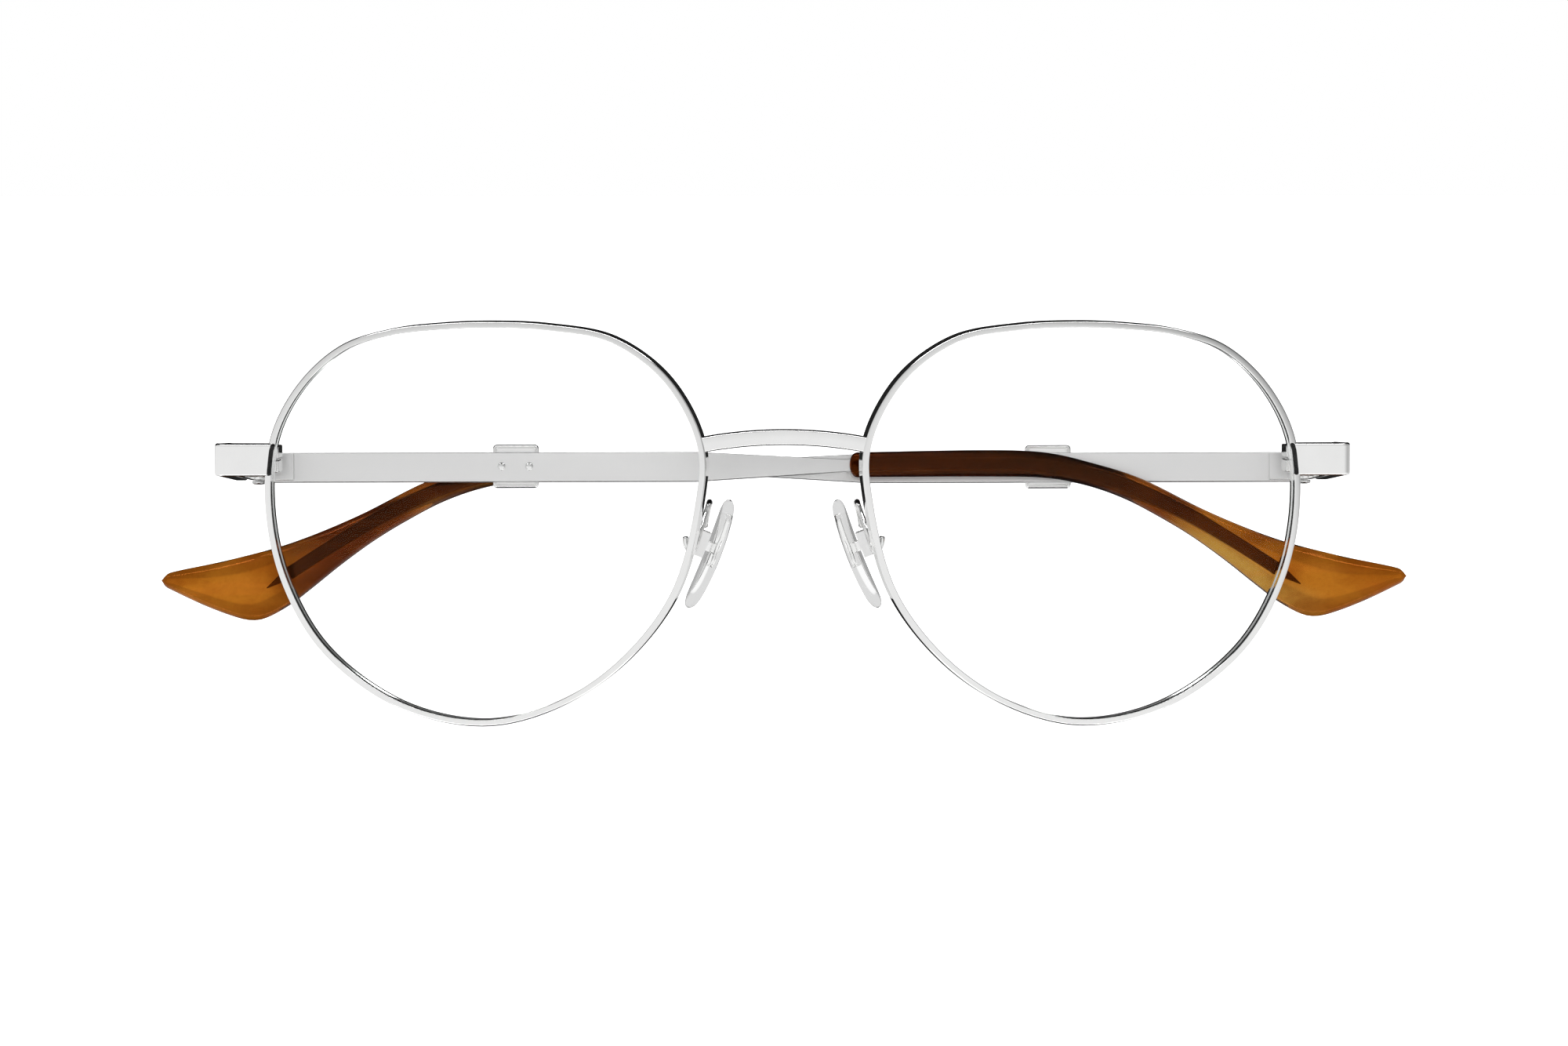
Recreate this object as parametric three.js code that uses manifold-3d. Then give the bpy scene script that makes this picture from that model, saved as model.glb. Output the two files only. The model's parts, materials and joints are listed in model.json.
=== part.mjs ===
// Round wire eyeglasses, folded: the wearer's right temple lies against the front and the left one over it.
// Millimetres. +X is to the wearer's left, +Y runs back towards the face and +Z is up.
// The origin is the middle of the bridge's flat back face.
import * as THREE from 'three';
import { mergeVertices } from 'three/addons/utils/BufferGeometryUtils.js';
import Module from 'manifold-3d';

const wasm = await Module();
wasm.setup();

const rad = THREE.MathUtils.degToRad;

// ---- Driving dimensions ----

const LEFT = 1;
const RIGHT = -1;
const SIDE_NAME = { [LEFT]: 'left', [RIGHT]: 'right' };

const JOINT_GAP = 0.15; // kept between pieces that are soldered or screwed together
const SOLDER_GAP = 0.3; // kept where a piece butts on a sloping wall

// Rims. Each is a loop of grooved wire, turned back at the temple side and bent to the lens curve.
const RIM_CENTRE_X = 35.9;
const RIM_CENTRE_Z = -10.5;
const RIM_FRONT_Y = 1.75; // the front face at the rim's centre
const FACE_WRAP = rad(8);
const RIM_WIDTH = 0.8;
const RIM_DEPTH = 2.7;
const RIM_STEPS = 72;
// Angle from the temple side, in degrees, and the reach from the centre of the rim's outer edge.
const RIM_REACH = [
  [5, 26.7], [22, 27.9], [37, 28.0], [51, 27.4], [64, 25.85], [77, 24.6],
  [91, 24.25], [108, 25.2], [125, 27.4], [142, 28.45], [160, 28.2], [175, 26.4],
  [200, 24.8], [225, 23.8], [248, 23.8], [270, 24.3], [295, 24.5], [322, 25.1], [345, 25.7],
];
const SPLIT_Z = 7.35; // height of the rim's split above its centre
const SPLIT_WIDTH = 0.25;
const GROOVE_FRONT = 0.85;
const GROOVE_WIDTH = 1.0;
const GROOVE_DEPTH = 0.4;

// Lenses: round blanks with the same curve on both faces, edged to the rim's shape.
const LENS_RADIUS = 131;
const LENS_THICKNESS = 1.8;
const LENS_BEVEL = 0.7; // thickness of the rib that sits in the groove
const LENS_CLEARANCE = 0.15;
const BLANK_RADIUS = 31;
const CURVE_REACH = 25.5; // reach at which the curved rim keeps its nominal depth

// Bridge: a flat strip, arched across the nose.
const BRIDGE_HEIGHT = 1.9;
const BRIDGE_THICKNESS = 1.3;
const BRIDGE_ARCH_RADIUS = 53;
const BRIDGE_HALF_SPAN = 10.5; // before the rims trim it

// End pieces: a strip lapped on the rim, turned back round the corner and sloping down to the hinge.
const LUG_HEIGHT = 3.9;
const LUG_THICKNESS = 1.5;
const LUG_CENTRE_Z = -3.03;
const LUG_INNER_X = 60.6;
const LUG_OUTER_X = 68.45;
const LUG_FRONT_Y = 5.1;
const LUG_BACK_Y = 14.8;
const LUG_CORNER = 1.6;
const LUG_LEAN = rad(12.5);
const LUG_LAP = 0.3; // how far outside the lens opening the strip stops
const LUG_RIM_REACH = 27; // the rim's reach at the strip's lower edge, where it is closest

// Rim locks: a block above and a block below the rim's split, drawn together by a screw.
const LOCK_INNER_X = 25.55;
const LOCK_OUTER_X = 29.0;
const LOCK_FRONT_Y = 3.35;
const LOCK_BACK_Y = 6.1;
const LOCK_BLOCK_HEIGHT = 1.5;
const LOCK_SCREW_X = 27.5;
const LOCK_SCREW_RADIUS = 0.45;
const LOCK_SCREW_HEAD = 0.8;
const LOCK_SCREW_HEAD_HEIGHT = 0.45;

// Temple hinges.
const HINGE_X = 63.45;
const HINGE_Y = 14.9;
const HINGE_Z = -4.38;
const TEMPLE_TILT = rad(8); // the open temples slope down from the front by this much
const KNUCKLE_RADIUS = 1.05;
const KNUCKLE_BORE = 0.6;
const MIDDLE_KNUCKLE = 1.0;
const KNUCKLE_GAP = 0.15;
const LEAF_HALF_HEIGHT = 1.65;
const LEAF_THICKNESS = 0.7;
const LEAF_START = 1.35; // full-height plates stay this far from the axis
const LEAF_OVERLAP = 0.1; // how far a leaf's arm runs into its plate before they are joined
const FRONT_LEAF_LENGTH = 4.6;
const TEMPLE_LEAF_LENGTH = 4.2;
const HINGE_SCREW_RADIUS = 0.42;
const HINGE_SCREW_HEAD = 0.8;
const HINGE_SCREW_HEAD_HEIGHT = 0.4;

// Temples, measured along the bar from the hinge axis.
const BAR_START = 0.2;
const BAR_TOP = 1.74;
const BAR_BOTTOM = -1.85;
const BAR_INNER_Y = 1.2;
const BAR_THICKNESS = 1.2;
const BAR_MID_Y = BAR_INNER_Y + BAR_THICKNESS / 2;
const TAPER_START = 53;
const CORE_START = 71;
const CORE_HALF_HEIGHT = 0.75;
const CORE_CLEARANCE = 0.2;
const TIP_START = 71.65;
const TIP_THICKNESS = 2.7;
const TIP_BEND_START = 97;
const TIP_END = 139;
const TIP_BEND = 1.0; // how far the end curves in towards the head
const FOLD_RIGHT = rad(0.9); // the folded right temple leans this far forward
const FOLD_LEFT = rad(1.8); // the folded left temple leans this far back

// Plaques on the temples' outer faces, each held by two rivets.
const PLAQUE_CENTRE_X = 31.05;
const PLAQUE_CENTRE_Z = 0.15;
const PLAQUE_LENGTH = 5.6;
const PLAQUE_HEIGHT = 5.3;
const PLAQUE_THICKNESS = 0.9;
const PLAQUE_BEVEL = 0.3;
const RIVET_SPACING = 3.35;
const RIVET_HEAD_RADIUS = 0.5;
const RIVET_HEAD_HEIGHT = 0.3;
const RIVET_STANDOFF = 0.05; // of the head from the bar
const RIVET_SHANK_RADIUS = 0.28;
const RIVET_HOLE_RADIUS = 0.4;
const RIVET_REACH = 0.35; // into the plaque

// Nose pads, in a frame of their own: X across the pad, Y back, Z along it.
const PAD_CENTRE = new THREE.Vector3(8.94, 5.5, -14.36);
const PAD_LEAN = rad(21.5);
const PAD_SPLAY = rad(4);
const PAD_LENGTH = 14;
const PAD_WIDTH = 7.2;
const PAD_THICKNESS = 1.5;
const PAD_BOW = 0.45; // how far the pad's middle bulges towards the nose
const PAD_BOW_RADIUS = 54.5;
const PAD_PIVOT_X = 1.02;
const PAD_PIVOT_Z = 0.85;
const INSERT_LENGTH = 6.5;
const INSERT_WIDTH = 3.2;
const INSERT_THICKNESS = 0.4;
const INSERT_CENTRE_Z = 1.9;
const INSERT_OFFSET = 0.2; // from the pad's middle surface, towards the nose
const INSERT_CLEARANCE = 0.1;
const BOSS_LENGTH = 1.3;
const BOSS_WIDTH = 1.1;
const BOSS_REACH = 0.45; // past the pivot
const BOX_LENGTH = 3.1;
const BOX_WIDTH = 2.3;
const BOX_WALL = 0.3;
const BOX_BACK_WALL = 0.15; // the wall on the side away from the pad
const BOX_NEAR = -0.35; // from the pivot
const BOX_FAR = 0.75;
const PAD_SCREW_RADIUS = 0.28;
const PAD_SCREW_BORE = 0.4;
const PAD_SCREW_HEAD = 0.55;
const PAD_SCREW_HEAD_HEIGHT = 0.3;
const ARM_RADIUS = 0.38;
// From the foot behind the rim, round and up to the loop, and down to the box.
const ARM_ROUTE = [
  [11.75, 1.65, -12.0], [11.65, 1.65, -12.9], [11.3, 1.75, -13.6], [10.9, 2.2, -13.75], [10.6, 2.8, -13.3],
  [10.3, 3.35, -12.4], [9.95, 3.7, -11.4], [9.55, 4.3, -10.3], [9.2, 4.8, -9.3], [8.95, 5.05, -8.55],
  [8.85, 5.6, -8.17], [8.92, 6.15, -8.55], [9.1, 6.25, -9.25], [9.3, 6.0, -10.2], [9.4, 5.6, -11.2],
];

// Finishes.
const POLISHED = { color: 0xe6e6e4, roughness: 0.12, metalness: 1 };
const SCREW_STEEL = { color: 0xbfc0c0, roughness: 0.3, metalness: 1 };
const CLEAR_LENS = { color: 0xf6f8f8, roughness: 0.02, metalness: 0, transparent: true, opacity: 0.2 };
const CLEAR_SILICONE = { color: 0xf2f4f4, roughness: 0.15, metalness: 0, transparent: true, opacity: 0.4 };
const AMBER_ACETATE = { color: 0x8a4416, roughness: 0.1, metalness: 0, transparent: true, opacity: 0.9 };

// ---- Solids ----

function solidOf(geometry) {
  const bare = geometry.clone();
  bare.deleteAttribute('normal');
  bare.deleteAttribute('uv');
  const merged = mergeVertices(bare, 1e-4);
  const mesh = new wasm.Mesh({
    numProp: 3,
    vertProperties: new Float32Array(merged.attributes.position.array),
    triVerts: new Uint32Array(merged.index.array),
  });
  return new wasm.Manifold(mesh);
}

function geometryOf(solid) {
  const mesh = solid.getMesh();
  const geometry = new THREE.BufferGeometry();
  geometry.setAttribute('position', new THREE.BufferAttribute(mesh.vertProperties, 3));
  geometry.setIndex(new THREE.BufferAttribute(mesh.triVerts, 1));
  return geometry;
}

function combine(operation, first, others) {
  return geometryOf(others.reduce((solid, other) => solid[operation](solidOf(other)), solidOf(first)));
}

const join = (first, ...others) => combine('add', first, others);
const cut = (first, ...others) => combine('subtract', first, others);
const overlapOf = (first, ...others) => combine('intersect', first, others);

// A shape drawn in X and Z, extruded from one depth to another.
function upright(shape, nearY, farY, options = {}) {
  const settings = { bevelEnabled: false, curveSegments: 8, ...options };
  const geometry = new THREE.ExtrudeGeometry(shape, { depth: farY - nearY, ...settings });
  return geometry.rotateX(Math.PI / 2).translate(0, farY, 0);
}

// A shape drawn in X and Y, extruded from one height to another.
function flat(shape, lowZ, highZ) {
  const settings = { depth: highZ - lowZ, bevelEnabled: false, curveSegments: 6 };
  return new THREE.ExtrudeGeometry(shape, settings).translate(0, 0, lowZ);
}

function block(low, high) {
  const size = high.map((value, axis) => value - low[axis]);
  const middle = high.map((value, axis) => (value + low[axis]) / 2);
  return new THREE.BoxGeometry(...size).translate(...middle);
}

// An upright cylinder.
function post(radius, lowZ, highZ, sides = 16) {
  const geometry = new THREE.CylinderGeometry(radius, radius, highZ - lowZ, sides);
  return geometry.rotateX(Math.PI / 2).translate(0, 0, (lowZ + highZ) / 2);
}

// A cylinder that lies along Y.
function peg(radius, nearY, farY, sides = 12) {
  const geometry = new THREE.CylinderGeometry(radius, radius, farY - nearY, sides);
  return geometry.translate(0, (nearY + farY) / 2, 0);
}

function mirrored(geometry) {
  const copy = geometry.index ? geometry.clone() : mergeVertices(geometry.clone());
  copy.scale(-1, 1, 1);
  const index = copy.index.array;
  for (let i = 0; i < index.length; i += 3) {
    [index[i], index[i + 1]] = [index[i + 1], index[i]];
  }
  return copy;
}

function reshape(geometry, change) {
  const position = geometry.attributes.position;
  const point = new THREE.Vector3();
  for (let i = 0; i < position.count; i++) {
    change(point.fromBufferAttribute(position, i));
    position.setXYZ(i, point.x, point.y, point.z);
  }
  return geometry;
}

function moved(geometry, group) {
  group.updateMatrixWorld(true);
  return geometry.clone().applyMatrix4(group.matrixWorld);
}

const spline = (pairs) => new THREE.SplineCurve(pairs.map(([x, y]) => new THREE.Vector2(x, y)));

// ---- Rims and lenses, drawn for the wearer's left eye about the rim's centre ----

function rimOutline(inset) {
  const corners = RIM_REACH.map(([angle, reach]) =>
    new THREE.Vector3(reach * Math.cos(rad(angle)), reach * Math.sin(rad(angle)), 0));
  const curve = new THREE.CatmullRomCurve3(corners, true, 'centripetal');
  return Array.from({ length: RIM_STEPS }, (_, i) => {
    const point = curve.getPointAt(i / RIM_STEPS);
    const along = curve.getTangentAt(i / RIM_STEPS);
    return new THREE.Vector2(point.x - inset * along.y, point.y + inset * along.x);
  });
}

const lensCurve = (reach) => (reach ** 2 - CURVE_REACH ** 2) / (2 * LENS_RADIUS);

function bendToLens(geometry) {
  return reshape(geometry, (point) => {
    point.y += lensCurve(Math.hypot(point.x, point.z));
  });
}

function rim() {
  const ring = new THREE.Shape(rimOutline(0));
  ring.holes.push(new THREE.Path(rimOutline(RIM_WIDTH)));
  const groove = new THREE.Shape(rimOutline(RIM_WIDTH - GROOVE_DEPTH));
  const split = block(
    [CURVE_REACH - 3, -1, SPLIT_Z - SPLIT_WIDTH / 2],
    [BLANK_RADIUS, RIM_DEPTH + 1, SPLIT_Z + SPLIT_WIDTH / 2],
  );
  return bendToLens(cut(
    upright(ring, 0, RIM_DEPTH),
    upright(groove, GROOVE_FRONT, GROOVE_FRONT + GROOVE_WIDTH),
    split,
  ));
}

function lensBlank(thickness) {
  const front = GROOVE_FRONT + (GROOVE_WIDTH - thickness) / 2;
  const reaches = Array.from({ length: 6 }, (_, i) => (i / 5) * BLANK_RADIUS);
  const profile = reaches.map((reach) => new THREE.Vector2(reach, front + lensCurve(reach)));
  for (const { x, y } of [...profile].reverse()) {
    profile.push(new THREE.Vector2(x, y + thickness));
  }
  return new THREE.LatheGeometry(profile, 36);
}

function lens() {
  const opening = new THREE.Shape(rimOutline(RIM_WIDTH + LENS_CLEARANCE));
  const seat = new THREE.Shape(rimOutline(RIM_WIDTH - GROOVE_DEPTH + LENS_CLEARANCE));
  return join(
    overlapOf(lensBlank(LENS_THICKNESS), upright(opening, -RIM_DEPTH * 2, RIM_DEPTH * 2)),
    overlapOf(lensBlank(LENS_BEVEL), upright(seat, -RIM_DEPTH * 2, RIM_DEPTH * 2)),
  );
}

function rimGroup(side) {
  const group = new THREE.Group();
  group.position.set(side * RIM_CENTRE_X, RIM_FRONT_Y, RIM_CENTRE_Z);
  group.rotation.z = side * FACE_WRAP;
  return group;
}

// Everything inside the rim's outer edge, with a margin, for trimming the pieces that butt on it.
function rimEnvelope(side, inset, nearY, farY) {
  const envelope = upright(new THREE.Shape(rimOutline(inset)), nearY, farY);
  return moved(side === LEFT ? envelope : mirrored(envelope), rimGroup(side));
}

function lockBlock(lowZ) {
  const body = block(
    [LOCK_INNER_X, LOCK_FRONT_Y, lowZ],
    [LOCK_OUTER_X, LOCK_BACK_Y, lowZ + LOCK_BLOCK_HEIGHT],
  );
  const bore = post(LOCK_SCREW_RADIUS + JOINT_GAP, lowZ - 1, lowZ + LOCK_BLOCK_HEIGHT + 1);
  return cut(body, bore.translate(LOCK_SCREW_X, (LOCK_FRONT_Y + LOCK_BACK_Y) / 2, 0));
}

// A screw standing on the Z axis with its head below.
function screw(shankRadius, headRadius, headHeight, shankLength) {
  const profile = [
    [0, -headHeight], [headRadius * 0.8, -headHeight], [headRadius, -headHeight * 0.6], [headRadius, 0],
    [shankRadius, 0], [shankRadius, shankLength], [0, shankLength],
  ];
  const turned = new THREE.LatheGeometry(profile.map(([x, y]) => new THREE.Vector2(x, y)), 12);
  return turned.rotateX(Math.PI / 2);
}

function lockScrew() {
  const lowest = SPLIT_Z - SPLIT_WIDTH / 2 - LOCK_BLOCK_HEIGHT - JOINT_GAP;
  const length = 2 * LOCK_BLOCK_HEIGHT + SPLIT_WIDTH + JOINT_GAP;
  return screw(LOCK_SCREW_RADIUS, LOCK_SCREW_HEAD, LOCK_SCREW_HEAD_HEIGHT, length)
    .translate(LOCK_SCREW_X, (LOCK_FRONT_Y + LOCK_BACK_Y) / 2, lowest);
}

// ---- Bridge ----

function bridge() {
  const sweep = Math.asin(BRIDGE_HALF_SPAN / BRIDGE_ARCH_RADIUS);
  const middle = Math.PI / 2;
  const shape = new THREE.Shape();
  const upper = BRIDGE_ARCH_RADIUS + BRIDGE_HEIGHT / 2;
  const lower = BRIDGE_ARCH_RADIUS - BRIDGE_HEIGHT / 2;
  shape.absarc(0, -BRIDGE_ARCH_RADIUS, upper, middle - sweep, middle + sweep, false);
  shape.absarc(0, -BRIDGE_ARCH_RADIUS, lower, middle + sweep, middle - sweep, true);
  const strip = upright(shape, -BRIDGE_THICKNESS, 0, { curveSegments: 14 });
  const rims = [LEFT, RIGHT].map((side) => rimEnvelope(side, -SOLDER_GAP, -3, RIM_DEPTH + 3));
  return cut(strip, ...rims);
}

// ---- End piece, drawn for the wearer's left ----

function endPiece() {
  const backX = LUG_OUTER_X - (LUG_BACK_Y - LUG_FRONT_Y) * Math.tan(LUG_LEAN);
  const wall = LUG_THICKNESS / Math.cos(LUG_LEAN);
  const innerY = LUG_FRONT_Y + LUG_THICKNESS;
  const innerX = (y) => LUG_OUTER_X - (y - LUG_FRONT_Y) * Math.tan(LUG_LEAN) - wall;
  const shape = new THREE.Shape();
  shape.moveTo(LUG_INNER_X, LUG_FRONT_Y);
  shape.lineTo(LUG_OUTER_X - LUG_CORNER, LUG_FRONT_Y);
  shape.quadraticCurveTo(
    LUG_OUTER_X, LUG_FRONT_Y,
    LUG_OUTER_X - LUG_CORNER * Math.tan(LUG_LEAN), LUG_FRONT_Y + LUG_CORNER,
  );
  shape.lineTo(backX, LUG_BACK_Y);
  shape.lineTo(backX - wall, LUG_BACK_Y);
  shape.lineTo(innerX(innerY), innerY);
  shape.lineTo(LUG_INNER_X, innerY);
  const strip = flat(shape, LUG_CENTRE_Z - LUG_HEIGHT / 2, LUG_CENTRE_Z + LUG_HEIGHT / 2);
  const cornerEnd = LUG_FRONT_Y + LUG_CORNER;
  reshape(strip, (point) => {
    point.z -= Math.max(0, point.y - cornerEnd) * Math.tan(TEMPLE_TILT);
  });
  const lensSide = rimEnvelope(LEFT, RIM_WIDTH - LUG_LAP, -3, RIM_DEPTH + 3);
  const rimRoom = rimEnvelope(LEFT, -JOINT_GAP, lensCurve(LUG_RIM_REACH) - JOINT_GAP, RIM_DEPTH + 3);
  return cut(strip, lensSide, rimRoom);
}

// ---- Hinge, drawn for the wearer's left about the hinge axis ----

function knuckle(lowZ, highZ) {
  return post(KNUCKLE_RADIUS, lowZ, highZ);
}

const knuckleBore = () => post(KNUCKLE_BORE, -LEAF_HALF_HEIGHT - 1, LEAF_HALF_HEIGHT + 1);

// The plate on the end piece's inner face, with the upper and lower knuckles.
function frontLeaf() {
  const lean = Math.tan(LUG_LEAN);
  const outer = BAR_INNER_Y - JOINT_GAP;
  const plan = (nearY, farY) => {
    const shape = new THREE.Shape();
    shape.moveTo(outer - lean * nearY, nearY);
    shape.lineTo(outer - lean * farY, farY);
    shape.lineTo(outer - lean * farY - LEAF_THICKNESS, farY);
    shape.lineTo(outer - lean * nearY - LEAF_THICKNESS, nearY);
    return shape;
  };
  const knuckleStart = MIDDLE_KNUCKLE / 2 + KNUCKLE_GAP;
  const plate = flat(plan(-FRONT_LEAF_LENGTH, -LEAF_START), -LEAF_HALF_HEIGHT, LEAF_HALF_HEIGHT);
  const ends = [[knuckleStart, LEAF_HALF_HEIGHT], [-LEAF_HALF_HEIGHT, -knuckleStart]];
  const arms = ends.flatMap(([low, high]) => [
    flat(plan(-LEAF_START - LEAF_OVERLAP, -LEAF_OVERLAP), low, high),
    knuckle(low, high),
  ]);
  return cut(join(plate, ...arms), knuckleBore());
}

function hingeScrew() {
  const length = 2 * LEAF_HALF_HEIGHT + JOINT_GAP;
  const pin = screw(HINGE_SCREW_RADIUS, HINGE_SCREW_HEAD, HINGE_SCREW_HEAD_HEIGHT, length);
  return pin.translate(0, 0, -LEAF_HALF_HEIGHT - JOINT_GAP);
}

// ---- Temple, drawn for the wearer's right about the hinge axis, folded towards +X ----

function templeLeaf() {
  const farY = BAR_INNER_Y - JOINT_GAP;
  const nearY = farY - LEAF_THICKNESS;
  const half = MIDDLE_KNUCKLE / 2;
  const plate = block([LEAF_START, nearY, -LEAF_HALF_HEIGHT], [TEMPLE_LEAF_LENGTH, farY, LEAF_HALF_HEIGHT]);
  const neck = block([0, nearY, -half], [LEAF_START + LEAF_OVERLAP, farY, half]);
  return cut(join(plate, neck, knuckle(-half, half)), knuckleBore());
}

const coreLine = spline([
  [CORE_START, 0.05], [79, 0.2], [87, 0.3], [94.5, 0.1], [101, -1.15],
  [106, -2.8], [112, -5.65], [118, -9.15], [123, -12.35],
]);
const CORE_POINT = new THREE.Vector2(126.3, -14.5);

// The bar's side view: a plain strip, a taper and the core wire that runs down inside the tip.
function barShape(margin) {
  const steps = 16;
  const upper = [];
  const lower = [];
  for (let i = 0; i <= steps; i++) {
    const middle = coreLine.getPointAt(i / steps);
    const along = coreLine.getTangentAt(i / steps);
    const across = new THREE.Vector2(-along.y, along.x).multiplyScalar(CORE_HALF_HEIGHT + margin);
    upper.unshift(middle.clone().add(across));
    lower.push(middle.clone().sub(across));
  }
  const top = BAR_TOP + margin;
  const bottom = BAR_BOTTOM - margin;
  return new THREE.Shape([
    new THREE.Vector2(BAR_START, bottom),
    new THREE.Vector2(TAPER_START, bottom),
    ...lower,
    CORE_POINT.clone().addScaledVector(coreLine.getTangentAt(1), margin * 2),
    ...upper,
    new THREE.Vector2(TAPER_START, top),
    new THREE.Vector2(BAR_START, top),
  ]);
}

function bendInward(geometry) {
  return reshape(geometry, (point) => {
    const along = Math.max(0, point.x - TIP_BEND_START) / (TIP_END - TIP_BEND_START);
    point.y -= TIP_BEND * along ** 2;
  });
}

const rivetPlaces = [-RIVET_SPACING / 2, RIVET_SPACING / 2].map((offset) => PLAQUE_CENTRE_X + offset);

function templeBar() {
  const bar = upright(barShape(0), BAR_INNER_Y, BAR_INNER_Y + BAR_THICKNESS);
  const holes = rivetPlaces.map((x) =>
    peg(RIVET_HOLE_RADIUS, BAR_INNER_Y - 1, BAR_INNER_Y + BAR_THICKNESS + 1).translate(x, 0, 0));
  return bendInward(cut(bar, ...holes));
}

function templeTip() {
  const shape = new THREE.Shape();
  shape.moveTo(TIP_START + 0.9, -1.4);
  shape.splineThru([
    [87, -1.35], [95, -1.5], [100, -2.3], [104.8, -3.95], [109.3, -6.3], [113.3, -8.75],
    [117.2, -11.6], [120.6, -14.35], [123.4, -16.5], [126.3, -18.1], [128.3, -18.4],
    [130.6, -17.85], [134, -16.55], [137.5, -14.9], [138.6, -14.3], [TIP_END, -13.6],
    [138.5, -12.9], [137.3, -12.4],
  ].map(([x, y]) => new THREE.Vector2(x, y)));
  shape.splineThru([
    [130.6, -10.95], [123.2, -8.9], [115.3, -5.7], [107.2, -1.65], [101, 0.35],
    [95, 1.65], [87, 1.9], [TIP_START + 0.9, 1.65],
  ].map(([x, y]) => new THREE.Vector2(x, y)));
  shape.quadraticCurveTo(TIP_START, 1.5, TIP_START, 0.1);
  shape.quadraticCurveTo(TIP_START, -1.3, TIP_START + 0.9, -1.4);
  const near = BAR_MID_Y - TIP_THICKNESS / 2;
  const far = BAR_MID_Y + TIP_THICKNESS / 2;
  const body = upright(shape, near, far, { curveSegments: 3 });
  const channelNear = BAR_INNER_Y - CORE_CLEARANCE;
  const channelFar = BAR_INNER_Y + BAR_THICKNESS + CORE_CLEARANCE;
  const channel = upright(barShape(CORE_CLEARANCE), channelNear, channelFar);
  return bendInward(cut(body, channel));
}

function plaque() {
  const near = BAR_INNER_Y + BAR_THICKNESS + JOINT_GAP;
  const shape = new THREE.Shape();
  const halfLength = PLAQUE_LENGTH / 2 - PLAQUE_BEVEL;
  const halfHeight = PLAQUE_HEIGHT / 2 - PLAQUE_BEVEL;
  shape.moveTo(-halfLength, -halfHeight);
  shape.lineTo(halfLength, -halfHeight);
  shape.lineTo(halfLength, halfHeight);
  shape.lineTo(-halfLength, halfHeight);
  const plate = upright(shape, near + PLAQUE_BEVEL, near + PLAQUE_THICKNESS - PLAQUE_BEVEL, {
    bevelEnabled: true,
    bevelThickness: PLAQUE_BEVEL,
    bevelSize: PLAQUE_BEVEL,
    bevelSegments: 1,
  });
  const sockets = rivetPlaces.map((x) =>
    peg(RIVET_HOLE_RADIUS, near - 1, near + RIVET_REACH + JOINT_GAP).translate(x, 0, 0));
  return cut(plate.translate(PLAQUE_CENTRE_X, 0, PLAQUE_CENTRE_Z), ...sockets);
}

// A domed head on the bar's inner face, with a shank through the bar into the plaque.
function rivet(x) {
  const face = BAR_INNER_Y - RIVET_STANDOFF;
  const end = BAR_INNER_Y + BAR_THICKNESS + JOINT_GAP + RIVET_REACH;
  const profile = [
    [0, face - RIVET_HEAD_HEIGHT],
    [RIVET_HEAD_RADIUS * 0.6, face - RIVET_HEAD_HEIGHT * 0.8],
    [RIVET_HEAD_RADIUS * 0.92, face - RIVET_HEAD_HEIGHT * 0.37],
    [RIVET_HEAD_RADIUS, face], [RIVET_SHANK_RADIUS, face], [RIVET_SHANK_RADIUS, end], [0, end],
  ];
  return new THREE.LatheGeometry(profile.map(([r, y]) => new THREE.Vector2(r, y)), 12).translate(x, 0, 0);
}

// ---- Nose pads, drawn for the wearer's left side of the nose ----

// A band that follows the pad's bow, drawn in X and Z, from one place along the pad to another.
function bowedBand(halfThickness, lowZ, highZ, offset = 0) {
  const centre = PAD_BOW_RADIUS - PAD_BOW - offset;
  const lowAngle = Math.PI + Math.asin(lowZ / PAD_BOW_RADIUS);
  const highAngle = Math.PI + Math.asin(highZ / PAD_BOW_RADIUS);
  const band = new THREE.Shape();
  band.absarc(centre, 0, PAD_BOW_RADIUS + halfThickness, lowAngle, highAngle, false);
  band.absarc(centre, 0, PAD_BOW_RADIUS - halfThickness, highAngle, lowAngle, true);
  return band;
}

function padBody() {
  const outline = new THREE.Shape();
  outline.absellipse(0, 0, PAD_LENGTH / 2, PAD_WIDTH / 2, 0, 2 * Math.PI);
  const prism = new THREE.ExtrudeGeometry(outline, {
    depth: 4 * PAD_THICKNESS, curveSegments: 20, bevelEnabled: false,
  });
  prism.translate(0, 0, -2 * PAD_THICKNESS).rotateY(-Math.PI / 2);
  const band = bowedBand(PAD_THICKNESS / 2, -PAD_LENGTH / 2 - 1, PAD_LENGTH / 2 + 1);
  const body = overlapOf(upright(band, -PAD_WIDTH, PAD_WIDTH), prism);
  return cut(body, insertSolid(INSERT_CLEARANCE));
}

function insertSolid(margin) {
  const lowZ = INSERT_CENTRE_Z - INSERT_LENGTH / 2 - margin;
  const highZ = INSERT_CENTRE_Z + INSERT_LENGTH / 2 + margin;
  const halfWidth = INSERT_WIDTH / 2 + margin;
  const band = bowedBand(INSERT_THICKNESS / 2 + margin, lowZ, highZ, INSERT_OFFSET);
  const plate = upright(band, -halfWidth, halfWidth);
  const boss = block(
    [-PAD_BOW - INSERT_OFFSET, -BOSS_WIDTH / 2 - margin, PAD_PIVOT_Z - BOSS_LENGTH / 2 - margin],
    [PAD_PIVOT_X + BOSS_REACH + margin, BOSS_WIDTH / 2 + margin, PAD_PIVOT_Z + BOSS_LENGTH / 2 + margin],
  );
  return join(plate, boss);
}

const atPivot = (geometry) => geometry.translate(PAD_PIVOT_X, 0, PAD_PIVOT_Z);

function padInsert() {
  return cut(insertSolid(0), atPivot(peg(PAD_SCREW_BORE, -BOX_WIDTH, BOX_WIDTH)));
}

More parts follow.
